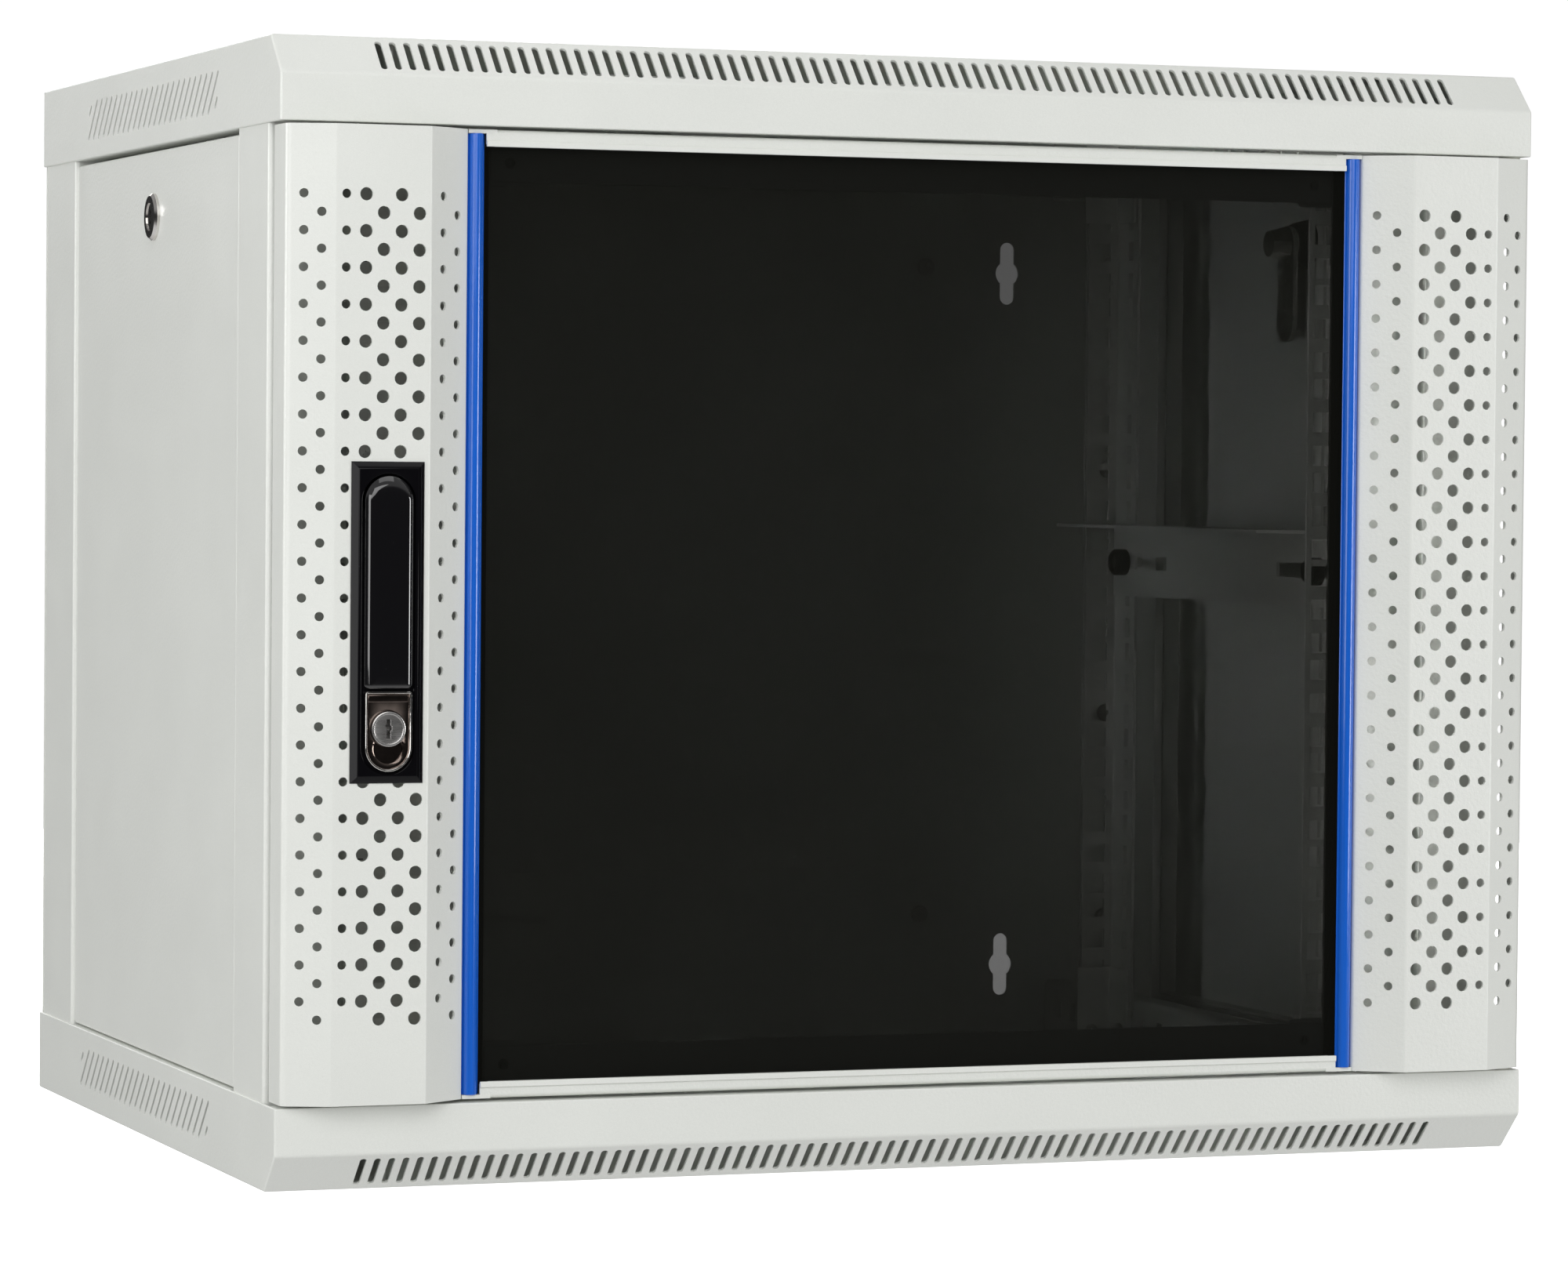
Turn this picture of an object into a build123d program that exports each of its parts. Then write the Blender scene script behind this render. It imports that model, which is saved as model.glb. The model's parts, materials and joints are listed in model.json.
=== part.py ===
from build123d import *
import math
import os

os.makedirs("parts", exist_ok=True)

# A wall-hung cabinet for 19 inch network equipment, nine units high.
# +X is to the right as one faces the door, +Y runs from the door to the wall, +Z is up.
# The origin is at the middle of the cabinet's underside. All sizes are in millimetres.

# ---- Driving dimensions: the whole cabinet
WIDTH = 600.0
SHELL_DEPTH = 450.0
HEIGHT = 501.0
DOOR_PROUD = 9.5
HANDLE_PROUD = 5.3
SHEET = 1.2
FRAME_SHEET = 1.5
SEAM = 0.1
BACK = (SHELL_DEPTH + DOOR_PROUD + HANDLE_PROUD) / 2
FRONT = BACK - SHELL_DEPTH
SIDE = WIDTH / 2
MIDDLE = HEIGHT / 2

# ---- The 19 inch system
UNIT = 44.45
UNITS = 9
HOLE_STEPS = (6.35, 22.225, 38.1)
SQUARE_HOLE = 9.5
HOLE_CENTRE_X = 232.55
RACK_OPENING = 450.0
FIRST_UNIT_Z = MIDDLE - UNITS * UNIT / 2

# ---- Covers: folded trays with a chamfered, slotted front edge
COVER_HEIGHT = 38.0
CHAMFER_DEPTH = 17.4
CHAMFER_HEIGHT = 17.1
COVER_LIP = 13.0
COVER_SIDE_LIP = 12.0
FRONT_SLOTS = 80
FRONT_SLOT_PITCH = 6.485
FRONT_SLOT_SHIFT = 3.1
FRONT_SLOT_LENGTH = 18.0
SLOT_WIDTH = 3.0
SIDE_SLOTS = 24
SIDE_SLOT_PITCH = 10.0
SIDE_SLOT_WIDTH = 2.0
END_SLOT_SHARE = 0.25
SIDE_SLOT_RISE = 19.0
SIDE_SLOT_LOW = 10.5
VENT_MIDDLE_LOWER = FRONT + 236.7
VENT_MIDDLE_UPPER = FRONT + 230.0
EDGE_RADIUS = 1.1

# ---- Fan fields and cable entries
FAN_X = 75.0
FAN_Y = FRONT + 233.0
FAN_BOLT_SPACING = 105.0
FAN_BOLT_RADIUS = 2.2
FAN_FIELD_RADIUS = 56.0
FAN_ROW_PITCH = 8.0
FAN_SLOT_WIDTH = 4.0
ENTRY_WIDTH = 300.0
ENTRY_DEPTH = 50.0
ENTRY_Y = FRONT + 403.0
ENTRY_OVERLAP = 9.0
REAR_ENTRY_HALF_WIDTH = 160.0
REAR_ENTRY_LOW = 58.0
REAR_ENTRY_HIGH = 98.0
REAR_COVER_HALF_WIDTH = 170.0
REAR_COVER_LOW = 50.0
REAR_COVER_HIGH = 104.0
REAR_COVER_SCREW_X = 175.5
REAR_COVER_SCREW_Z = 78.5

# ---- Wall fixing keyholes in the rear panel
KEYHOLE_X = 223.0
KEYHOLE_LOW_Z = 50.6
KEYHOLE_HIGH_Z = 420.0
KEYHOLE_WIDTH = 8.0
KEYHOLE_LENGTH = 33.0
KEYHOLE_HEAD = 13.0

# ---- Posts
POST_OUT = SIDE - SHEET - SEAM
POST_FRONT = FRONT + 23.5
FRONT_POST_BACK = FRONT + 76.0
REAR_POST_FRONT = FRONT + 386.0
POST_FLANGE = 30.0
POST_RETURN = 15.0
POST_BEND = 1.0
POST_LOW = SHEET + 0.05
FRONT_POST_LOW = 7.0

# ---- Rack rails, their feet and the depth rails that carry them
RAIL_FACE_FRONT = FRONT + 80.0
RAIL_FACE_REAR = FRONT + 343.0
RAIL_OUT = 243.3
RAIL_FLANGE = 26.0
RAIL_END = 34.0
RAIL_SIDE_HOLE = 17.0
RAIL_SIDE_HOLE_WIDTH = 5.2
FOOT_LOW = 17.0
FOOT_HIGH = 58.0
TUCK = 0.4
DEPTH_RAIL_FACE = RAIL_OUT + SEAM
DEPTH_RAIL_HEIGHT = 43.0
DEPTH_RAIL_TOP_FLANGE = 13.0
DEPTH_RAIL_FOOT_FLANGE = 18.0
DEPTH_RAIL_FRONT = FRONT + 23.0
DEPTH_RAIL_BACK = FRONT + 435.0
DEPTH_SLOT_Z = 29.0
DEPTH_SLOT_PITCH = 18.75
DEPTH_SLOT_COUNT = 21
DEPTH_SLOT_WIDTH = 6.4
DEPTH_SLOT_HEIGHT = 9.5

# ---- Equipment supports
SUPPORT_OUT = RAIL_OUT - FRAME_SHEET - SEAM
SUPPORT_IN = 208.0
SUPPORT_TOP = 288.0
SUPPORT_HEIGHT = 37.0
SUPPORT_FRONT = RAIL_FACE_FRONT + 2.5
SUPPORT_BACK = RAIL_FACE_REAR - 1.0
SUPPORT_CORNER_CUT = 18.0
SUPPORT_SLOT_Z = 268.3
SUPPORT_SLOT_LENGTH = 62.0
SUPPORT_SLOT_WIDTH = 7.0
WASHER_RADIUS = 6.7
WASHER_DEPTH = 7.5

# ---- Side panels and their locks
PANEL_OUT = SIDE - 2.4
PANEL_FRONT = FRONT_POST_BACK + 1.5
PANEL_BACK = REAR_POST_FRONT - 1.5
PANEL_LOW = 38.7
PANEL_HIGH = 460.7
PANEL_FLANGE = 10.0
SIDE_LOCK_Y = FRONT + 231.6
SIDE_LOCK_Z = 430.0
SIDE_LOCK_BEZEL = 11.0
SIDE_LOCK_BARREL = 9.0
SIDE_PLUG = 6.5
SIDE_CAM_LENGTH = 40.0
SIDE_CAM_X = 284.2
SIDE_CAM_THICKNESS = 2.5

# ---- Door
DOOR_LOW = 39.4
DOOR_HIGH = HEIGHT - DOOR_LOW
DOOR_FACE = FRONT - DOOR_PROUD
DOOR_OUT = 297.9
HINGE_X = 292.7
HINGE_Y = FRONT + 8.0
HINGE_PIN = 2.5
PIN_PLAY = 0.05
OUTER_BEND_X = 277.8
OUTER_EDGE_Y = FRONT - 2.0
WING_RETURN_Y = FRONT + 17.4
INNER_BEND_X = 235.3
WING_IN = 214.7
WING_IN_Y = FRONT + 4.2
GLASS_SHELF_Y = FRONT + 10.5
GLASS_SHELF_X = 203.0
WING_BEND = 0.8
WING_OUTER_BEND = 2.3
GLASS_FRONT = FRONT + 6.0
GLASS_THICKNESS = 4.0
GLASS_HALF_WIDTH = 213.2
GLASS_LOW = 41.2
TRIM_WIDTH = 7.6
TRIM_LOW = 41.2
RAIL_LIP_Y = FRONT + 3.7
RAIL_LIP_TOP = 46.8
RAIL_LIP_REACH = 206.5
RAIL_BACK_Y = GLASS_SHELF_Y + SHEET

# ---- Perforation of the wings: columns that start low, and columns half a row higher
ROW_PITCH = 15.78
SMALL_HOLE = 4.0
LARGE_HOLE = 5.7
LOW_COLUMNS = ((283.6, SMALL_HOLE), (256.4, LARGE_HOLE), (240.4, LARGE_HOLE), (220.6, SMALL_HOLE))
HIGH_COLUMNS = ((290.8, SMALL_HOLE), (273.1, SMALL_HOLE), (264.3, LARGE_HOLE),
                (248.4, LARGE_HOLE), (228.4, SMALL_HOLE))
LEFT_FIRST_ROW = 76.7
RIGHT_FIRST_ROW = 71.2
LEFT_LOW_ROWS = 23
RIGHT_LOW_ROWS = 24
HIGH_ROWS = 23
RIGHT_COLUMN_SHIFT = 0.2
CUTOUT_MARGIN = 0.8

# ---- Swing handle on the left wing: a bevelled plate, a lever on it and a lock below
HANDLE_X = -254.0
PLATE_WIDTH = 32.7
PLATE_LOW = 178.5
PLATE_HIGH = 317.0
PLATE_THICKNESS = 2.2
PLATE_BEVEL_ANGLE = 54.0
PLATE_FRONT = DOOR_FACE - PLATE_THICKNESS
PIVOT_Z = 300.0
RECESS_RADIUS = 12.5
RECESS_DEPTH = 6.0
CUP_RADIUS = 14.0
CUP_BACK = DOOR_FACE + RECESS_DEPTH + 1.6
LEVER_WIDTH = 21.8
LEVER_LOW = 218.9
LEVER_BACK = PLATE_FRONT - 0.1
LEVER_FRONT = DOOR_FACE - HANDLE_PROUD
LEVER_EDGE = 1.5
LEVER_PIN_Y = DOOR_FACE + 1.0
LEVER_PIN_RADIUS = 1.2
EAR_IN = 4.7
EAR_OUT = 8.0
EAR_RADIUS = 2.8
KNUCKLE_HALF_WIDTH = 4.5
KNUCKLE_RADIUS = 2.6
HUB_RADIUS = 8.0
HUB_THICKNESS = 0.75
SPINDLE_RADIUS = 5.0
TONGUE_Y = POST_FRONT + FRAME_SHEET + 1.5
TONGUE_THICKNESS = 3.0
TONGUE_LENGTH = 28.0
TONGUE_WIDTH = 14.0
LOCK_Z = 202.0
LOCK_HOUSING_LOW = 183.6
LOCK_HOUSING_HIGH = 218.2
LOCK_HOUSING_WIDTH = 20.9
LOCK_HOUSING_RIM = 1.2
LOCK_HOUSING_FRONT = PLATE_FRONT - 1.8
LOCK_HOUSING_FLOOR = PLATE_FRONT - 0.5
LOCK_FRONT = PLATE_FRONT - 2.2
LOCK_RADIUS = 7.7
LOCK_BACK = DOOR_FACE + 12.0
CLAMP_THICKNESS = 4.0

# ---- Screws
SCREW_HEAD = 4.6
SCREW_HEAD_HEIGHT = 2.6
SCREW_SHANK = 2.4

# ---- Earth stud on the floor
EARTH_POINT = (205.0, FRONT + 403.0)


# ---------------------------------------------------------------- helpers
def parallel(points, distance):
    """Corners of an open polyline moved sideways, to the left of its direction."""
    moved = []
    last = len(points) - 1
    for i, (x, y) in enumerate(points):
        back = max(i - 1, 0)
        ahead = min(i, last - 1)
        before = (Vector(points[back + 1]) - Vector(points[back])).normalized()
        after = (Vector(points[ahead + 1]) - Vector(points[ahead])).normalized()
        along = (before + after).normalized()
        reach = distance / along.dot(after)
        moved.append((x - along.Y * reach, y + along.X * reach))
    return moved


def folded(points, thickness, *bends):
    """Cross-section of a folded sheet: points run along one skin, the sheet lies to their left.
    bends holds the inner radius of every fold, or one radius for them all."""
    if len(bends) == 1:
        bends = bends * (len(points) - 2)
    far_points = parallel(points, thickness)
    near_radii = []
    far_radii = []
    for a, b, c, bend in zip(points, points[1:], points[2:], bends):
        turn = (b[0] - a[0]) * (c[1] - b[1]) - (b[1] - a[1]) * (c[0] - b[0])
        near_radii.append(bend + thickness if turn > 0 else bend)
        far_radii.append(bend if turn > 0 else bend + thickness)
    near = FilletPolyline(*points, radius=near_radii)
    far = FilletPolyline(*far_points, radius=far_radii)
    ends = [Line(points[0], far_points[0]), Line(points[-1], far_points[-1])]
    return make_face([*near.edges(), *far.edges(), *ends])


def along_z(face, low, high):
    return extrude(Pos(0, 0, low) * face, high - low)


def along_x(face, low, high):
    """face is drawn in Y and Z."""
    return extrude(Plane.YZ.offset(low) * face, high - low)


def along_y(face, low, high):
    """face is drawn in X and Z."""
    return extrude(Plane.XZ.offset(-high) * face, high - low)


def block(x, y, z):
    """A box from its three spans."""
    sizes = [abs(span[1] - span[0]) for span in (x, y, z)]
    middle = [(span[0] + span[1]) / 2 for span in (x, y, z)]
    return Pos(*middle) * Box(*sizes)


def rod_x(radius, low, high, y, z):
    return Pos((low + high) / 2, y, z) * Rot(0, 90, 0) * Cylinder(radius, high - low)


def rod_y(radius, low, high, x, z):
    return Pos(x, (low + high) / 2, z) * Rot(90, 0, 0) * Cylinder(radius, high - low)


def rod_z(radius, low, high, x, y):
    return Pos(x, y, (low + high) / 2) * Cylinder(radius, high - low)


def swap_sides(shape):
    return mirror(shape, Plane.YZ)


def swap_ends(shape):
    return mirror(shape, Plane.XY.offset(MIDDLE))


def screw(start, direction, length, head=SCREW_HEAD, shank=SCREW_SHANK):
    """A pan head screw: start is under the head, direction is the way its shank points."""
    plane = Plane(origin=start, z_dir=direction)
    top = Pos(0, 0, -SCREW_HEAD_HEIGHT / 2) * Cylinder(head, SCREW_HEAD_HEIGHT)
    top = fillet(top.faces().sort_by(Axis.Z)[0].edges(), SCREW_HEAD_HEIGHT * 0.55)
    for angle in (0, 90):
        top -= Pos(0, 0, -SCREW_HEAD_HEIGHT) * Rot(0, 0, angle) * Box(head, 0.9, 2.4)
    stem = Pos(0, 0, length / 2 - 0.05) * Cylinder(shank, length + 0.1)
    return plane * (top + stem)


def save(name, *solids):
    shape = solids[0] if len(solids) == 1 else Compound(children=list(solids))
    shape.label = name
    export_step(shape, f"parts/{name}.step")


# ---------------------------------------------------------------- covers
def cover_outline(inset):
    """Side view of the lower cover's tray, its walls moved in by inset."""
    front = FRONT + inset
    knee = FRONT + CHAMFER_DEPTH + inset * math.tan(math.pi / 8)
    hip = CHAMFER_HEIGHT + inset * math.tan(math.pi / 8)
    back = BACK + inset
    corners = [(back, inset), (knee, inset), (front, hip), (front, COVER_HEIGHT + inset)]
    skin = FilletPolyline(*corners, radius=[2.4 - inset, 2.4 - inset])
    close = Polyline(corners[-1], (back, COVER_HEIGHT + inset), corners[0])
    return make_face([*skin.edges(), *close.edges()])


def front_slots(shift):
    """The row of slots across the chamfer, its middle shifted along X."""
    run = math.hypot(CHAMFER_DEPTH, CHAMFER_HEIGHT)
    normal = (0, -CHAMFER_HEIGHT / run, -CHAMFER_DEPTH / run)
    middle = (0, FRONT + CHAMFER_DEPTH / 2, CHAMFER_HEIGHT / 2)
    slope = Plane(origin=middle, x_dir=(1, 0, 0), z_dir=normal)
    shape = SlotOverall(FRONT_SLOT_LENGTH, SLOT_WIDTH, rotation=90)
    slot = extrude(shape, SHEET * 2, both=True)
    first = shift - (FRONT_SLOTS - 1) * FRONT_SLOT_PITCH / 2
    return [slope * Pos(first + i * FRONT_SLOT_PITCH, 0, 0) * slot for i in range(FRONT_SLOTS)]


def side_slots(low, vent_middle):
    """Slanting slots through both side walls, with a short one at each end of the row."""
    cutters = []
    middle_z = low + SIDE_SLOT_RISE / 2
    first = vent_middle - (SIDE_SLOTS - 1) * SIDE_SLOT_PITCH / 2
    full = SIDE_SLOT_RISE * math.sqrt(2) - SIDE_SLOT_WIDTH * 0.4
    for i in range(-1, SIDE_SLOTS + 1):
        length = full
        shift = 0.0
        if i in (-1, SIDE_SLOTS):
            length = full * END_SLOT_SHARE
            shift = math.copysign(length / math.sqrt(2), i)
        face = SlotOverall(length, SIDE_SLOT_WIDTH, rotation=135)
        y = first + i * SIDE_SLOT_PITCH - shift
        z = middle_z + shift
        cutters.append(along_x(Pos(y, z) * face, -SIDE - 1, SIDE + 1))
    return cutters


def cover_tray():
    tray = along_x(cover_outline(0), -SIDE, SIDE)
    ends = [tray.faces().sort_by(Axis.X)[i] for i in (0, -1)]
    rims = [edge for end in ends for edge in end.edges() if edge.center().Z < COVER_HEIGHT - 1]
    rims = [edge for edge in rims if edge.center().Y < BACK - 1]
    tray = fillet(rims, EDGE_RADIUS)
    tray -= along_x(cover_outline(SHEET), -SIDE + SHEET, SIDE - SHEET)
    under = COVER_HEIGHT - SHEET
    tray += block((-SIDE + 0.5, SIDE - 0.5), (FRONT + 0.5, FRONT + COVER_LIP), (under, COVER_HEIGHT))
    lip_edge = [e for e in tray.edges().filter_by(Axis.X)
                if abs(e.center().Y - FRONT) < 0.1 and abs(e.center().Z - COVER_HEIGHT) < 0.1]
    tray = fillet(lip_edge, 0.6)
    for side in (-1, 1):
        span = (side * (SIDE - 0.5), side * (SIDE - COVER_SIDE_LIP))
        run = (FRONT_POST_BACK + 4, REAR_POST_FRONT - 4)
        tray += block(span, run, (under, COVER_HEIGHT))
    return tray - rod_z(4.0 + PIN_PLAY, under - 2, COVER_HEIGHT + 2, HINGE_X, HINGE_Y)


def fan_field(x):
    """Cutters for one fan: rows of slots inside a circle, parted in the middle, and its bolt holes."""
    cutters = []
    rows = int(FAN_FIELD_RADIUS / FAN_ROW_PITCH)
    for row in range(-rows, rows + 1):
        y = row * FAN_ROW_PITCH
        reach = math.sqrt(FAN_FIELD_RADIUS**2 - y**2)
        if reach < 12:
            continue
        length = reach - 3
        slot = extrude(SlotOverall(length, FAN_SLOT_WIDTH), SHEET * 2, both=True)
        for side in (-1, 1):
            cutters.append(Pos(x + side * (3 + length / 2), FAN_Y + y, 0) * slot)
    half = FAN_BOLT_SPACING / 2
    for dx in (-half, half):
        for dy in (-half, half):
            cutters.append(rod_z(FAN_BOLT_RADIUS, -SHEET * 2, SHEET * 2, x + dx, FAN_Y + dy))
    return cutters


def rounded_plate(width, depth, thickness, radius):
    return extrude(RectangleRounded(width, depth, radius), thickness)


def entry_screw_points():
    reach = ENTRY_WIDTH / 2 + ENTRY_OVERLAP / 2
    return [(sx * reach, ENTRY_Y + sy * 18) for sx in (-1, 1) for sy in (-1, 1)]


def make_covers():
    entry = extrude(RectangleRounded(ENTRY_WIDTH, ENTRY_DEPTH, 8), SHEET * 2, both=True)
    entry = Pos(0, ENTRY_Y, SHEET / 2) * entry
    holes = [rod_z(SCREW_SHANK, -1, SHEET + 1, x, y) for x, y in entry_screw_points()]
    plain = cover_tray() - entry - holes
    bottom = plain - front_slots(-FRONT_SLOT_SHIFT) - side_slots(SIDE_SLOT_LOW, VENT_MIDDLE_LOWER)
    bottom -= rod_z(3.0, -1, SHEET + 1, *EARTH_POINT)
    save("bottom_cover", bottom)
    top = swap_ends(plain - front_slots(FRONT_SLOT_SHIFT) - fan_field(-FAN_X) - fan_field(FAN_X))
    top_low = HEIGHT - SIDE_SLOT_LOW - SIDE_SLOT_RISE
    save("top_cover", top - side_slots(top_low, VENT_MIDDLE_UPPER))


# ---------------------------------------------------------------- rear panel and cable entries
def keyhole(x, z):
    slot = along_y(Pos(x, z) * SlotOverall(KEYHOLE_LENGTH, KEYHOLE_WIDTH, rotation=90), BACK - 4, BACK + 4)
    return slot + rod_y(KEYHOLE_HEAD / 2, BACK - 4, BACK + 4, x, z)


def rear_cover_outline():
    high = REAR_COVER_HIGH - REAR_COVER_LOW
    plate = Pos(0, REAR_COVER_LOW + high / 2) * RectangleRounded(2 * REAR_COVER_HALF_WIDTH, high, 7)
    ears = SlotOverall(2 * (REAR_COVER_SCREW_X + 6), 12)
    return plate + Pos(0, REAR_COVER_SCREW_Z) * ears


def make_rear():
    edge = POST_OUT - 0.1
    panel = block((-edge, edge), (BACK - SHEET, BACK), (POST_LOW, HEIGHT - POST_LOW))
    inner = POST_OUT - POST_FLANGE - 2
    lip = block((-inner, inner), (BACK - 12, BACK - 0.5), (POST_LOW, POST_LOW + SHEET))
    panel += lip
    panel += swap_ends(lip)
    for x in (-KEYHOLE_X, KEYHOLE_X):
        panel -= keyhole(x, KEYHOLE_LOW_Z)
        panel -= keyhole(x, KEYHOLE_HIGH_Z)
    high = REAR_ENTRY_HIGH - REAR_ENTRY_LOW
    entry = Pos(0, REAR_ENTRY_LOW + high / 2) * RectangleRounded(2 * REAR_ENTRY_HALF_WIDTH, high, 6)
    entry = along_y(entry, BACK - 4, BACK + 4)
    for x in (-REAR_COVER_SCREW_X, REAR_COVER_SCREW_X):
        entry += rod_y(SCREW_SHANK, BACK - 4, BACK + 4, x, REAR_COVER_SCREW_Z)
    panel -= [entry, swap_ends(entry)]
    panel -= [rod_y(SCREW_SHANK, BACK - 4, BACK + 4, x, z) for x, z in rear_screw_points()]
    save("rear_panel", panel)
    front = BACK - 2 * SHEET - SEAM
    plate = along_y(rear_cover_outline(), front, front + SHEET)
    for x in (-REAR_COVER_SCREW_X, REAR_COVER_SCREW_X):
        plate -= rod_y(SCREW_SHANK, front - 1, front + SHEET + 1, x, REAR_COVER_SCREW_Z)
    save("rear_cable_covers", plate, swap_ends(plate))
    fixings = []
    for x in (-REAR_COVER_SCREW_X, REAR_COVER_SCREW_X):
        fixings.append(screw((x, front, REAR_COVER_SCREW_Z), (0, 1, 0), 2 * SHEET))
    fixings += [swap_ends(one) for one in fixings]
    length = 2 * SHEET
    for x, y in entry_screw_points():
        low = screw((x, y, 2 * SHEET + SEAM), (0, 0, -1), length)
        fixings += [low, swap_ends(low)]
    save("cable_cover_screws", *fixings)
    flat = rounded_plate(ENTRY_WIDTH + 2 * ENTRY_OVERLAP, ENTRY_DEPTH + ENTRY_OVERLAP, SHEET, 8)
    flat = Pos(0, ENTRY_Y, SHEET + SEAM) * flat
    flat -= [rod_z(SCREW_SHANK, 0, 4, x, y) for x, y in entry_screw_points()]
    save("floor_cable_cover", flat)
    save("roof_cable_cover", swap_ends(flat))
    heads = []
    for x, z in rear_screw_points():
        heads.append(screw((x, BACK - SHEET - SEAM - FRAME_SHEET, z), (0, 1, 0), FRAME_SHEET + SHEET))
    save("rear_panel_screws", *heads)


def rear_screw_points():
    x = POST_OUT - POST_FLANGE / 2 - 2
    return [(sx * x, z) for sx in (-1, 1) for z in (75.0, 185.0, HEIGHT - 185.0, HEIGHT - 75.0)]


# ---------------------------------------------------------------- posts
def make_posts():
    edge = POST_OUT - POST_FLANGE
    inner = POST_OUT - POST_RETURN
    front_line = [(edge, POST_FRONT), (POST_OUT, POST_FRONT),
                  (POST_OUT, FRONT_POST_BACK), (inner, FRONT_POST_BACK)]
    back_skin = BACK - SHEET - SEAM
    rear_line = [(inner, REAR_POST_FRONT), (POST_OUT, REAR_POST_FRONT),
                 (POST_OUT, back_skin), (edge, back_skin)]
    front_post = along_z(folded(front_line, FRAME_SHEET, POST_BEND), FRONT_POST_LOW, HEIGHT - FRONT_POST_LOW)
    rear_post = along_z(folded(rear_line, FRAME_SHEET, POST_BEND), POST_LOW, HEIGHT - POST_LOW)
    for x, z in rear_screw_points():
        if x > 0:
            rear_post -= rod_y(SCREW_SHANK, back_skin - 3, back_skin + 1, x, z)
    save("post_front_right", front_post)
    save("post_front_left", swap_sides(front_post))
    save("post_rear_right", rear_post)
    save("post_rear_left", swap_sides(rear_post))


# ---------------------------------------------------------------- rack rails, feet, depth rails
def hole_heights():
    return [FIRST_UNIT_Z + unit * UNIT + step for unit in range(UNITS) for step in HOLE_STEPS]


def rack_rail(line, face_low, face_high, side_hole_y):
    rail = along_z(folded(line, FRAME_SHEET, 1.0), RAIL_END, HEIGHT - RAIL_END)
    cutters = []
    for i, z in enumerate(hole_heights()):
        hole = Rectangle(SQUARE_HOLE, SQUARE_HOLE)
        if i % 3 == 0:
            hole += Pos(SQUARE_HOLE / 2, 0) * Rectangle(2.4, 2.4)
        cutters.append(along_y(Pos(HOLE_CENTRE_X, z) * hole, face_low - 1, face_high + 1))
        side = Pos(side_hole_y, z) * Rectangle(RAIL_SIDE_HOLE_WIDTH, SQUARE_HOLE)
        cutters.append(along_x(side, RAIL_OUT - 4, RAIL_OUT + 2))
    return rail - cutters


def rail_foot(face, toward):
    """A foot at a rail's lower end: it fills the rail's corner above and carries on below it."""
    inner = RACK_OPENING / 2 - 3
    depth = (face, face + toward * (RAIL_FLANGE - 2))
    skin = (face, face + toward * FRAME_SHEET)
    tuck = (face + toward * (FRAME_SHEET + TUCK), face + toward * (2 * FRAME_SHEET + TUCK))
    tuck_x = RAIL_OUT - FRAME_SHEET - TUCK
    foot = block((inner, RAIL_OUT), skin, (FOOT_LOW, RAIL_END - SEAM))
    foot += block((RAIL_OUT - FRAME_SHEET, RAIL_OUT), depth, (FOOT_LOW, RAIL_END - SEAM))
    foot += block((tuck_x - FRAME_SHEET, RAIL_OUT - 0.5), (tuck[0], depth[1]), (FOOT_LOW, RAIL_END - SEAM))
    foot += block((tuck_x - FRAME_SHEET, tuck_x), (tuck[0], depth[1]), (FOOT_LOW, FOOT_HIGH))
    foot += block((inner, tuck_x), tuck, (FOOT_LOW, FOOT_HIGH))
    hole_z = (FOOT_LOW + RAIL_END) / 2
    foot -= rod_y(3.2, min(face, tuck[1]) - 2, max(face, tuck[1]) + 2, inner + 8, hole_z)
    return foot


def make_rails():
    opening = RACK_OPENING / 2
    front_line = [(opening, RAIL_FACE_FRONT), (RAIL_OUT, RAIL_FACE_FRONT),
                  (RAIL_OUT, RAIL_FACE_FRONT + RAIL_FLANGE)]
    rear_skin = RAIL_FACE_REAR + FRAME_SHEET
    rear_line = [(RAIL_OUT, rear_skin - RAIL_FLANGE), (RAIL_OUT, rear_skin), (opening, rear_skin)]
    front_hole = RAIL_FACE_FRONT + RAIL_SIDE_HOLE
    rear_hole = rear_skin - RAIL_SIDE_HOLE
    front_rail = rack_rail(front_line, RAIL_FACE_FRONT, RAIL_FACE_FRONT + FRAME_SHEET, front_hole)
    rear_rail = rack_rail(rear_line, RAIL_FACE_REAR, rear_skin, rear_hole)
    save("rack_rail_front_right", front_rail)
    save("rack_rail_front_left", swap_sides(front_rail))
    save("rack_rail_rear_right", rear_rail)
    save("rack_rail_rear_left", swap_sides(rear_rail))
    foot_hole_z = (FOOT_LOW + RAIL_END) / 2
    feet = []
    screws = []
    for face, toward, hole_y in ((RAIL_FACE_FRONT, 1, front_hole), (rear_skin, -1, rear_hole)):
        tuck_in = RAIL_OUT - 2 * FRAME_SHEET - TUCK
        foot = rail_foot(face, toward)
        foot -= rod_x(SCREW_SHANK, tuck_in - 2, RAIL_OUT + 1, hole_y, foot_hole_z)
        fixing = screw((tuck_in, hole_y, foot_hole_z), (1, 0, 0), 6.0)
        for shape, group in ((foot, feet), (fixing, screws)):
            group += [shape, swap_sides(shape), swap_ends(shape), swap_ends(swap_sides(shape))]
    save("rail_feet", *feet)
    save("rail_screws", *screws)
    return front_hole, rear_hole, foot_hole_z


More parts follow.
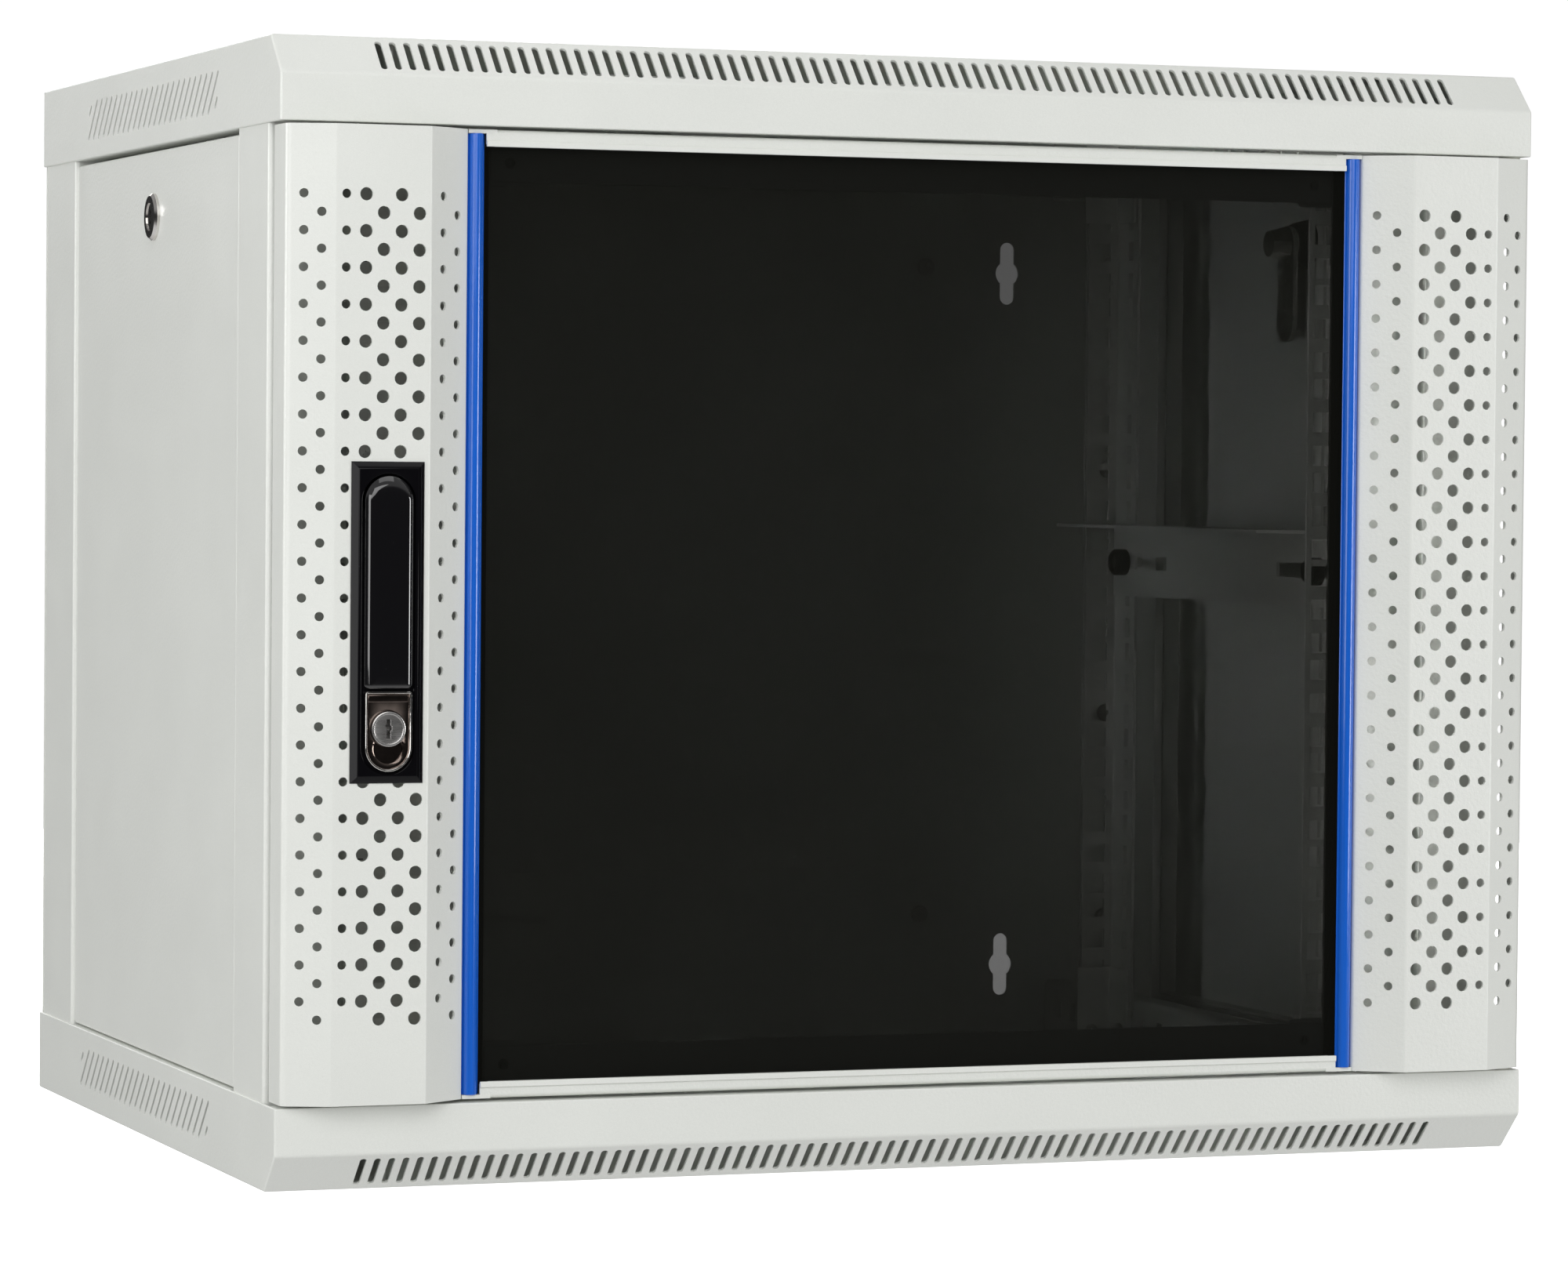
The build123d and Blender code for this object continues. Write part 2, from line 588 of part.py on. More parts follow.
def make_depth_rails(front_hole, rear_hole, foot_hole_z):
    face = DEPTH_RAIL_FACE
    line = [(face + DEPTH_RAIL_TOP_FLANGE, DEPTH_RAIL_HEIGHT), (face, DEPTH_RAIL_HEIGHT),
            (face, POST_LOW), (face + DEPTH_RAIL_FOOT_FLANGE, POST_LOW)]
    rail = along_y(folded(line, FRAME_SHEET, 1.0), DEPTH_RAIL_FRONT, DEPTH_RAIL_BACK)
    middle = (DEPTH_RAIL_FRONT + DEPTH_RAIL_BACK) / 2
    first = middle - (DEPTH_SLOT_COUNT - 1) * DEPTH_SLOT_PITCH / 2
    slot = Rectangle(DEPTH_SLOT_WIDTH, DEPTH_SLOT_HEIGHT)
    cutters = []
    for i in range(DEPTH_SLOT_COUNT):
        place = Pos(first + i * DEPTH_SLOT_PITCH, DEPTH_SLOT_Z)
        cutters.append(along_x(place * slot, face - 1, face + 3))
    for hole_y in (front_hole, rear_hole):
        cutters.append(rod_x(SCREW_SHANK, face - 1, face + 3, hole_y, foot_hole_z))
    rail -= cutters
    save("depth_rail_lower_right", rail)
    save("depth_rail_lower_left", swap_sides(rail))
    save("depth_rail_upper_right", swap_ends(rail))
    save("depth_rail_upper_left", swap_ends(swap_sides(rail)))


def make_supports(front_hole, rear_hole):
    web_low = SUPPORT_TOP - SUPPORT_HEIGHT
    line = [(SUPPORT_OUT, web_low), (SUPPORT_OUT, SUPPORT_TOP), (SUPPORT_IN, SUPPORT_TOP)]
    support = along_y(folded(line, FRAME_SHEET, 1.0), SUPPORT_FRONT, SUPPORT_BACK)
    corner = [(SUPPORT_IN - 1, SUPPORT_FRONT - 1), (SUPPORT_OUT - 6, SUPPORT_FRONT - 1),
              (SUPPORT_IN - 1, SUPPORT_FRONT + SUPPORT_CORNER_CUT)]
    cut = extrude(Pos(0, 0, SUPPORT_TOP - 3) * make_face(Polyline(*corner, close=True)), 6)
    support -= cut
    reach = SUPPORT_SLOT_LENGTH / 2
    washer_in = SUPPORT_OUT - FRAME_SHEET - WASHER_DEPTH
    washers = []
    screws = []
    for hole_y, shift in ((front_hole, reach - 14), (rear_hole, 10 - reach)):
        slot = Pos(hole_y + shift, SUPPORT_SLOT_Z) * Rectangle(SUPPORT_SLOT_LENGTH, SUPPORT_SLOT_WIDTH)
        support -= along_x(slot, SUPPORT_OUT - 4, SUPPORT_OUT + 1)
        washer = rod_x(WASHER_RADIUS, washer_in, washer_in + WASHER_DEPTH, hole_y, SUPPORT_SLOT_Z)
        washer = chamfer(washer.faces().sort_by(Axis.X)[0].edges(), 1.6)
        washer -= rod_x(SCREW_HEAD + 0.2, washer_in - 1, washer_in + 4.2, hole_y, SUPPORT_SLOT_Z)
        washer -= rod_x(SCREW_SHANK + 0.1, washer_in, washer_in + 9, hole_y, SUPPORT_SLOT_Z)
        seat = washer_in + 4.2
        fixing = screw((seat, hole_y, SUPPORT_SLOT_Z), (1, 0, 0), 12.0)
        washers += [washer, swap_sides(washer)]
        screws += [fixing, swap_sides(fixing)]
    save("support_right", support)
    save("support_left", swap_sides(support))
    save("support_washers", *washers)
    save("support_screws", *screws)


# ---------------------------------------------------------------- side panels and their locks
def side_panel():
    size = (PANEL_FLANGE, PANEL_BACK - PANEL_FRONT, PANEL_HIGH - PANEL_LOW)
    middle = (PANEL_OUT - PANEL_FLANGE / 2, (PANEL_FRONT + PANEL_BACK) / 2, (PANEL_LOW + PANEL_HIGH) / 2)
    panel = Box(*size)
    panel = fillet(panel.edges().filter_by(Axis.X), 1.6)
    panel = fillet(panel.faces().sort_by(Axis.X)[-1].edges(), 1.5)
    panel -= Pos(-SHEET, 0, 0) * Box(size[0], size[1] - 2 * SHEET, size[2] - 2 * SHEET)
    panel = Pos(*middle) * panel
    return panel - rod_x(SIDE_LOCK_BARREL, PANEL_OUT - 4, PANEL_OUT + 1, SIDE_LOCK_Y, SIDE_LOCK_Z)


def make_side_panels():
    y = SIDE_LOCK_Y
    z = SIDE_LOCK_Z
    cam_top = SIDE_CAM_X + SIDE_CAM_THICKNESS
    inner = PANEL_OUT - SHEET
    bezel = rod_x(SIDE_LOCK_BEZEL, PANEL_OUT, SIDE, y, z)
    bezel = chamfer(bezel.faces().sort_by(Axis.X)[-1].edges(), 1.2)
    housing = bezel + rod_x(SIDE_LOCK_BARREL, cam_top + SEAM, PANEL_OUT + 0.1, y, z)
    housing -= rod_x(SIDE_PLUG + PIN_PLAY, cam_top - 2, SIDE + 1, y, z)
    nut = Pos((inner + cam_top + 1.5) / 2, y, z) * Rot(0, 90, 0) * Cone(10.5, 12.5, inner - cam_top - 1.5)
    nut -= rod_x(SIDE_LOCK_BARREL, cam_top, inner + 1, y, z)
    plug = rod_x(SIDE_PLUG, SIDE_CAM_X - 1, SIDE - 0.5, y, z)
    plug -= block((SIDE - 6, SIDE + 1), (y - 0.8, y + 0.8), (z - 3.6, z + 3.6))
    plug += rod_x(1.1, SIDE - 8, SIDE - 0.9, y, z)
    arm = SlotOverall(SIDE_CAM_LENGTH + 18, 18, rotation=90)
    cam = along_x(Pos(y, z - SIDE_CAM_LENGTH / 2) * arm, SIDE_CAM_X, cam_top)
    cam -= rod_x(SIDE_PLUG, SIDE_CAM_X - 1, cam_top + 1, y, z)
    plug += Pos(SIDE_CAM_X - 5.0, y, z) * Rot(0, 90, 0) * Cone(6.5, 8.8, 9.0)
    panel = side_panel()
    parts = {"side_panel": panel, "side_lock_housing": housing, "side_lock_nut": nut,
             "side_lock_plug": plug, "side_lock_cam": cam}
    for name, shape in parts.items():
        save(f"{name}_right", shape)
        save(f"{name}_left", swap_sides(shape))


# ---------------------------------------------------------------- door
def wing_line():
    return [(GLASS_SHELF_X, GLASS_SHELF_Y), (WING_IN, GLASS_SHELF_Y), (WING_IN, WING_IN_Y),
            (INNER_BEND_X, DOOR_FACE), (OUTER_BEND_X, DOOR_FACE),
            (DOOR_OUT, OUTER_EDGE_Y), (DOOR_OUT, WING_RETURN_Y)]


def facet_at(x):
    """Depth of the wing's outer skin at x, and the angle at which it stands."""
    line = wing_line()
    for (x0, y0), (x1, y1) in zip(line[2:], line[3:]):
        if x0 <= x <= x1:
            slope = (y1 - y0) / (x1 - x0)
            return y0 + slope * (x - x0), math.degrees(math.atan(slope))
    raise ValueError(x)


def column(x, diameter, first, rows, cutouts):
    """Cutters square to the skin for one column of holes, clear of the cut-outs."""
    y, angle = facet_at(x)
    cutter = Rot(0, 0, angle) * Rot(90, 0, 0) * Cylinder(diameter / 2, 8)
    cutters = []
    for row in range(rows):
        z = first + row * ROW_PITCH
        reach = diameter / 2 + CUTOUT_MARGIN
        if all(math.hypot(x + HANDLE_X, z - middle) > radius + reach for middle, radius in cutouts):
            cutters.append(Pos(x, y, z) * cutter)
    return cutters


def perforation(first_row, low_rows, shift, cutouts):
    cutters = []
    for x, diameter in LOW_COLUMNS:
        cutters += column(x + shift, diameter, first_row, low_rows, cutouts)
    for x, diameter in HIGH_COLUMNS:
        cutters += column(x + shift, diameter, first_row + ROW_PITCH / 2, HIGH_ROWS, cutouts)
    return cutters


def wing_shell(hinged):
    line = wing_line()
    bends = [WING_BEND] * (len(line) - 3) + [WING_OUTER_BEND]
    shell = along_z(folded(line, SHEET, *bends), DOOR_LOW, DOOR_HIGH)
    skin = parallel(line, SHEET * 0.8)
    closing_y = HINGE_Y - 1.5
    outline = [*skin[2:6], (skin[5][0], closing_y), (skin[2][0], closing_y)]
    face = make_face(Polyline(*outline, close=True))
    if hinged:
        face += Pos(HINGE_X, HINGE_Y) * Circle(4.7)
        face -= Pos(HINGE_X, HINGE_Y) * Circle(HINGE_PIN + PIN_PLAY)
    end = along_z(face, DOOR_LOW, DOOR_LOW + SHEET)
    return shell + end + swap_ends(end)


def make_wings():
    right = wing_shell(True) - perforation(RIGHT_FIRST_ROW, RIGHT_LOW_ROWS, RIGHT_COLUMN_SHIFT, [])
    save("door_wing_right", right)
    cutouts = [(PIVOT_Z, CUP_RADIUS + 0.2), (LOCK_Z, LOCK_RADIUS + 1.5)]
    left = wing_shell(False) - perforation(LEFT_FIRST_ROW, LEFT_LOW_ROWS, 0, cutouts)
    left -= [rod_y(radius, DOOR_FACE - 2, DOOR_FACE + 4, -HANDLE_X, z) for z, radius in cutouts]
    save("door_wing_left", swap_sides(left))


def make_door_rails():
    lip_line = [(RAIL_LIP_Y, RAIL_LIP_TOP), (RAIL_LIP_Y, DOOR_LOW),
                (RAIL_BACK_Y, DOOR_LOW), (RAIL_BACK_Y, DOOR_LOW + 22)]
    inner = GLASS_SHELF_X - 0.3
    rail = along_x(folded(lip_line, SHEET, 0.6), -inner, inner)
    bead = block((-RAIL_LIP_REACH, RAIL_LIP_REACH), (RAIL_LIP_Y - 0.8, RAIL_LIP_Y + 0.2),
                 (RAIL_LIP_TOP - 2.6, RAIL_LIP_TOP))
    rail += fillet(bead.edges().filter_by(Axis.X), 0.35)
    for side in (-1, 1):
        span = (side * (inner - 1), side * (WING_IN - SEAM))
        lip_span = (side * (inner - 1), side * RAIL_LIP_REACH)
        rail += block(span, (RAIL_LIP_Y, RAIL_LIP_Y + SHEET), (DOOR_LOW, TRIM_LOW - SEAM))
        rail += block(lip_span, (RAIL_LIP_Y, RAIL_LIP_Y + SHEET), (DOOR_LOW, RAIL_LIP_TOP - 1))
        rail += block(span, (RAIL_LIP_Y, GLASS_SHELF_Y - 1.0), (DOOR_LOW, DOOR_LOW + SHEET))
    hole_x = inner - 9
    hole_z = DOOR_LOW + 14
    for x in (-hole_x, hole_x):
        rail -= rod_y(SCREW_SHANK, RAIL_BACK_Y - 3, RAIL_BACK_Y + 1, x, hole_z)
    save("door_rail_bottom", rail)
    save("door_rail_top", swap_ends(rail))
    plate_y = RAIL_BACK_Y + SEAM
    plates = []
    screws = []
    plate = block((186, WING_IN - 1), (plate_y, plate_y + FRAME_SHEET), (DOOR_LOW + 4, DOOR_LOW + 24))
    plate = fillet(plate.edges().filter_by(Axis.Y), 3)
    plate -= rod_y(SCREW_SHANK, plate_y - 1, plate_y + 3, hole_x, hole_z)
    fixing = screw((hole_x, plate_y + FRAME_SHEET, hole_z), (0, -1, 0), 2.8)
    for shape, group in ((plate, plates), (fixing, screws)):
        group += [shape, swap_sides(shape), swap_ends(shape), swap_ends(swap_sides(shape))]
    save("door_corner_plates", *plates)
    save("door_corner_screws", *screws)


def make_glass():
    back = GLASS_FRONT + GLASS_THICKNESS
    glass = block((-GLASS_HALF_WIDTH, GLASS_HALF_WIDTH), (GLASS_FRONT, back), (GLASS_LOW, HEIGHT - GLASS_LOW))
    glass = chamfer(glass.edges(), 0.4)
    save("door_glass", glass)
    tape_x = (GLASS_SHELF_X + 0.5, GLASS_HALF_WIDTH - 0.5)
    tape = block(tape_x, (back, GLASS_SHELF_Y), (TRIM_LOW + 2, HEIGHT - TRIM_LOW - 2))
    save("glass_tapes", tape, swap_sides(tape))
    radius = TRIM_WIDTH / 2
    trim_x = WING_IN - 0.05 - radius
    half_round = Circle(radius) & Pos(0, -radius / 2) * Rectangle(TRIM_WIDTH, radius)
    trim = along_z(Pos(trim_x, GLASS_FRONT) * half_round, TRIM_LOW, HEIGHT - TRIM_LOW)
    save("trim_strip_right", trim)
    save("trim_strip_left", swap_sides(trim))


def make_hinge():
    lower = rod_z(HINGE_PIN, COVER_HEIGHT - 5, DOOR_LOW + 10, HINGE_X, HINGE_Y)
    lower += rod_z(3.8, DOOR_LOW + SHEET, DOOR_LOW + 5, HINGE_X, HINGE_Y)
    save("hinge_pin_lower", lower)
    bush = rod_z(4.0, COVER_HEIGHT - SHEET - 2, COVER_HEIGHT + 0.2, HINGE_X, HINGE_Y)
    bush += rod_z(4.9, COVER_HEIGHT, DOOR_LOW - SEAM, HINGE_X, HINGE_Y)
    bush -= rod_z(HINGE_PIN + PIN_PLAY, 30, DOOR_LOW + 1, HINGE_X, HINGE_Y)
    save("hinge_bushes", bush, swap_ends(bush))
    pin_top = HEIGHT - COVER_HEIGHT + 4.5
    collar = DOOR_HIGH - 7.0
    pin = rod_z(HINGE_PIN, 428, pin_top, HINGE_X, HINGE_Y)
    pin += rod_z(3.8, collar, collar + 2, HINGE_X, HINGE_Y)
    pin += rod_x(1.8, HINGE_X - 16, HINGE_X, HINGE_Y, 430.5)
    save("hinge_pin_upper", pin)
    shelf = 437.0
    wall_x = (HINGE_X - 5, DOOR_OUT - SHEET - 0.5)
    wall = block(wall_x, (HINGE_Y - 8.6, HINGE_Y - 7.1), (shelf, DOOR_HIGH - SHEET))
    lug = Circle(3.8) + Pos(0, -4) * Rectangle(7.0, 8)
    floor = along_z(Pos(HINGE_X, HINGE_Y) * lug, shelf, shelf + 1.5)
    bracket = wall + floor - rod_z(HINGE_PIN + PIN_PLAY, shelf - 2, shelf + 4, HINGE_X, HINGE_Y)
    save("hinge_bracket_upper", bracket)
    spring_low = shelf + 1.5 + 0.6
    spring_high = collar - 0.6
    turns = 7
    coil = Helix(pitch=(spring_high - spring_low) / turns, height=spring_high - spring_low, radius=3.5)
    start = coil ^ 0
    spring = sweep(Plane(origin=start.position, z_dir=(coil % 0)) * Circle(0.5), path=coil)
    save("hinge_spring", Pos(HINGE_X, HINGE_Y, spring_low) * spring)


# ---------------------------------------------------------------- handle
def handle_plate():
    """A plate with bevelled edges and a round cup behind it, in which the lever's pivot sits."""
    face = Pos(HANDLE_X, (PLATE_LOW + PLATE_HIGH) / 2) * Rectangle(PLATE_WIDTH, PLATE_HIGH - PLATE_LOW)
    plate = extrude(Plane.XZ.offset(-DOOR_FACE) * face, PLATE_THICKNESS, taper=PLATE_BEVEL_ANGLE)
    plate += rod_y(CUP_RADIUS, DOOR_FACE - 0.5, CUP_BACK, HANDLE_X, PIVOT_Z)
    plate -= rod_y(RECESS_RADIUS, PLATE_FRONT - 1, DOOR_FACE + RECESS_DEPTH, HANDLE_X, PIVOT_Z)
    plate -= rod_y(SPINDLE_RADIUS + PIN_PLAY, DOOR_FACE, CUP_BACK + 1, HANDLE_X, PIVOT_Z)
    return plate - rod_y(LOCK_RADIUS, PLATE_FRONT - 1, DOOR_FACE + 1, HANDLE_X, LOCK_Z)


def lock_outline(inset):
    """The lock's housing from the front: round below, square above."""
    radius = LOCK_HOUSING_WIDTH / 2 - inset
    middle = LOCK_HOUSING_LOW + LOCK_HOUSING_WIDTH / 2
    rise = LOCK_HOUSING_HIGH - inset - middle
    return Pos(HANDLE_X, middle) * (Circle(radius) + Pos(0, rise / 2) * Rectangle(2 * radius, rise))


def make_lock():
    housing = along_y(lock_outline(0), LOCK_HOUSING_FRONT, PLATE_FRONT)
    housing = fillet(housing.faces().sort_by(Axis.Y)[0].edges(), 0.5)
    housing -= along_y(lock_outline(LOCK_HOUSING_RIM), LOCK_HOUSING_FRONT - 1, LOCK_HOUSING_FLOOR)
    housing -= rod_y(LOCK_RADIUS, LOCK_HOUSING_FRONT, PLATE_FRONT + 1, HANDLE_X, LOCK_Z)
    save("lock_housing", housing)
    cylinder = rod_y(LOCK_RADIUS - PIN_PLAY, LOCK_FRONT, LOCK_BACK, HANDLE_X, LOCK_Z)
    cylinder = chamfer(cylinder.faces().sort_by(Axis.Y)[0].edges(), 0.5)
    keyway = (HANDLE_X - 0.9, HANDLE_X + 0.9)
    cylinder -= block(keyway, (LOCK_FRONT - 1, LOCK_FRONT + 8), (LOCK_Z - 4.5, LOCK_Z + 4.5))
    save("lock_cylinder", cylinder)


def make_handle():
    save("handle_base", handle_plate())
    make_lock()
    floor = DOOR_FACE + RECESS_DEPTH - PIN_PLAY
    tongue_end = TONGUE_Y + TONGUE_THICKNESS
    knuckle_x = (HANDLE_X - KNUCKLE_HALF_WIDTH, HANDLE_X + KNUCKLE_HALF_WIDTH)
    knuckle_z = (PIVOT_Z - KNUCKLE_RADIUS, PIVOT_Z + KNUCKLE_RADIUS)
    hub = rod_y(HUB_RADIUS, floor - HUB_THICKNESS, floor, HANDLE_X, PIVOT_Z)
    hub += rod_y(SPINDLE_RADIUS, floor - 0.1, tongue_end + 3, HANDLE_X, PIVOT_Z)
    hub += rod_x(KNUCKLE_RADIUS, *knuckle_x, LEVER_PIN_Y, PIVOT_Z)
    hub += block(knuckle_x, (LEVER_PIN_Y, floor), knuckle_z)
    hub -= rod_x(LEVER_PIN_RADIUS + PIN_PLAY, knuckle_x[0] - 1, knuckle_x[1] + 1, LEVER_PIN_Y, PIVOT_Z)
    save("handle_spindle", hub)
    slot = SlotOverall(TONGUE_LENGTH + TONGUE_WIDTH / 2, TONGUE_WIDTH, rotation=90)
    tongue_z = PIVOT_Z + (TONGUE_LENGTH - TONGUE_WIDTH / 2) / 2
    tongue = along_y(Pos(HANDLE_X, tongue_z) * slot, TONGUE_Y, tongue_end)
    save("latch_tongue", tongue - rod_y(SPINDLE_RADIUS, TONGUE_Y - 1, tongue_end + 1, HANDLE_X, PIVOT_Z))
    save("handle_lever", lever())
    reach = EAR_OUT - 0.2
    save("lever_pin", rod_x(LEVER_PIN_RADIUS, HANDLE_X - reach, HANDLE_X + reach, LEVER_PIN_Y, PIVOT_Z))
    clamps = []
    for z, half_size, radius in ((PIVOT_Z, 17.0, CUP_RADIUS + PIN_PLAY), (LOCK_Z, 13.0, LOCK_RADIUS)):
        depth = (DOOR_FACE + SHEET, DOOR_FACE + SHEET + CLAMP_THICKNESS)
        clamp = block((HANDLE_X - half_size, HANDLE_X + half_size), depth, (z - half_size, z + half_size))
        clamp = fillet(clamp.edges().filter_by(Axis.Y), 4)
        clamps.append(clamp - rod_y(radius, DOOR_FACE, depth[1] + 1, HANDLE_X, z))
    save("handle_clamps", *clamps)


def lever():
    """A bar with a round top and a square lower end, and two ears behind it for its pin."""
    half = LEVER_WIDTH / 2
    length = PIVOT_Z - LEVER_LOW
    face = Pos(HANDLE_X, PIVOT_Z) * Circle(half)
    face += Pos(HANDLE_X, PIVOT_Z - length / 2) * Rectangle(LEVER_WIDTH, length)
    bar = along_y(face, LEVER_FRONT, LEVER_BACK)
    bar = fillet([e for e in bar.edges().filter_by(Axis.Y) if e.center().Z < LEVER_LOW + 1], 2.5)
    bar = fillet(bar.faces().sort_by(Axis.Y)[0].edges(), LEVER_EDGE)
    ear_z = (PIVOT_Z - EAR_RADIUS, PIVOT_Z + EAR_RADIUS)
    for span in ((HANDLE_X - EAR_OUT, HANDLE_X - EAR_IN), (HANDLE_X + EAR_IN, HANDLE_X + EAR_OUT)):
        bar += block(span, (LEVER_BACK - 0.5, LEVER_PIN_Y), ear_z)
        bar += rod_x(EAR_RADIUS, *span, LEVER_PIN_Y, PIVOT_Z)
    return bar - rod_x(LEVER_PIN_RADIUS + PIN_PLAY, HANDLE_X - half, HANDLE_X + half, LEVER_PIN_Y, PIVOT_Z)


# ---------------------------------------------------------------- earth stud
def make_earth_stud():
    x, y = EARTH_POINT
    stud = rod_z(3.0, 0, 18, x, y)
    collar = rod_z(6.0, SHEET, SHEET + 1.6, x, y) - rod_z(3.0, 0, 4, x, y)
    nut = extrude(Pos(x, y, SHEET + 1.7) * RegularPolygon(5.5, 6), 5) - rod_z(3.0, 0, 10, x, y)
    save("earth_stud", stud, collar, nut)


make_covers()
make_rear()
make_posts()
rail_holes = make_rails()
make_depth_rails(*rail_holes)
make_supports(*rail_holes[:2])
make_side_panels()
make_wings()
make_door_rails()
make_glass()
make_hinge()
make_handle()
make_earth_stud()
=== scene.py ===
import json
import math

import bmesh
import bpy
from mathutils import Matrix, Vector
from mathutils.geometry import delaunay_2d_cdt


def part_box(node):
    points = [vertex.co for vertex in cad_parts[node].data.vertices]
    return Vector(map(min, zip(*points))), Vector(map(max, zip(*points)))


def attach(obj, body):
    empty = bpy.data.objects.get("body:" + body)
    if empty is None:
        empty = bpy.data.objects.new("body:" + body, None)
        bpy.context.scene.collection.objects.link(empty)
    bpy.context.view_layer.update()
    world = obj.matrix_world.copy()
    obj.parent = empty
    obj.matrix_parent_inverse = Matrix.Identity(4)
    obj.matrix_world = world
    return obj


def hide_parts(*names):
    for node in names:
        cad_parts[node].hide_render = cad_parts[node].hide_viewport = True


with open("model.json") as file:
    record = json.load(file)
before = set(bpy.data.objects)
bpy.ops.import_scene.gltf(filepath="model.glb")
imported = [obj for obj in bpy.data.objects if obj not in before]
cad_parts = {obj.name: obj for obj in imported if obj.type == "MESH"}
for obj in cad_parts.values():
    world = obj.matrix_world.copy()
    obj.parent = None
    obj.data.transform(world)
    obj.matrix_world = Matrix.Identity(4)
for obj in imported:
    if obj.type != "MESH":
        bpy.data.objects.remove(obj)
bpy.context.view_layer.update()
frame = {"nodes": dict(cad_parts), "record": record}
nodes = frame["nodes"]

# ---- Camera: place in metres, angles in degrees
CAMERA_PLACE = Vector((-0.945, -2.5866, 0.318))
CAMERA_YAW = 20.31
CAMERA_PITCH = -1.695
CAMERA_ROLL = 0.509
CAMERA_LENS = 130.88
SENSOR = 36.0

# ---- Studio: azimuths are in degrees from the door's normal towards +X
# ---- A light's brightness is that of a white card that faces it
WHITE = 1.02
SKY = 0.38
HORIZON = 0.06
GROUND = 0.85
LIGHTS = {
    "front": {"azimuth": -18, "elevation": 30, "distance": 6.0, "size": 5.0, "brightness": 0.45},
    "left": {"azimuth": -58, "elevation": 8, "distance": 1.6, "size": 0.8, "brightness": 0.23},
    "far_left": {"azimuth": -114, "elevation": 10, "distance": 5.0, "size": 1.6, "brightness": 0.29},
    "right": {"azimuth": 44, "elevation": 0, "distance": 4.0, "size": 1.2, "brightness": 0.24},
    "top": {"azimuth": 0, "elevation": 84, "distance": 2.4, "size": 1.6, "brightness": 0.12},
    "back": {"azimuth": 172, "elevation": 24, "distance": 3.0, "size": 2.0, "brightness": 0.45},
}
LIGHT_TARGET = Vector((0, 0, 0.25))
INSIDE_LIGHT_WIDTH = 0.025
INSIDE_LIGHT_HEIGHT = 0.36
INSIDE_LIGHTS = {
    "inside_wall": {"place": (-0.225, -0.17, 0.25), "aim": (0.9, 0.44, 0), "spread": 38, "power": 0.13},
    "inside_rail": {"place": (0.10, -0.188, 0.25), "aim": (0.92, 0.38, 0), "spread": 60, "power": 0.085},
}
FLOOR_RADIUS = 2.2

# ---- Sizes of the modelled pieces, in metres
MM = 0.001
DISH_MARGIN = 1.0 * MM
DISH_DEPTH = 0.9 * MM
PIVOT_RECESS = 11.6 * MM
PIVOT_Z = 0.300
LEVER_HALF_WIDTH = 10.9 * MM
LOCK_Z = 0.202
UNIT = 44.45 * MM
UNITS = 9
TICK_LENGTH = 4.0 * MM
TICK_INSET = 1.0 * MM
TICK_HALF_HEIGHT = 0.25 * MM
TICK_THICKNESS = 0.05 * MM
CUP_DEPTH = 6.0 * MM
CUP_RADIUS = 13.9 * MM
SPINDLE_BORE = 5.1 * MM
PLATE_LOCK_BORE = 7.72 * MM
PIN_DEPTH = 3.2 * MM
HOOK_RADIUS = 2.7 * MM
HOOK_SPAN = (4.75 * MM, 7.9 * MM)
LOCK_RECESS_RADIUS = 7.95 * MM
LOCK_SEAT_RADIUS = 7.7 * MM
POCKET_RADIUS = 6.4 * MM
POCKET_DROP = 8.6 * MM
KEYWAY_DEPTH = 6 * MM
TRIM_FLANGE = 0.55 * MM
TRIM_SHOULDER = 0.7 * MM


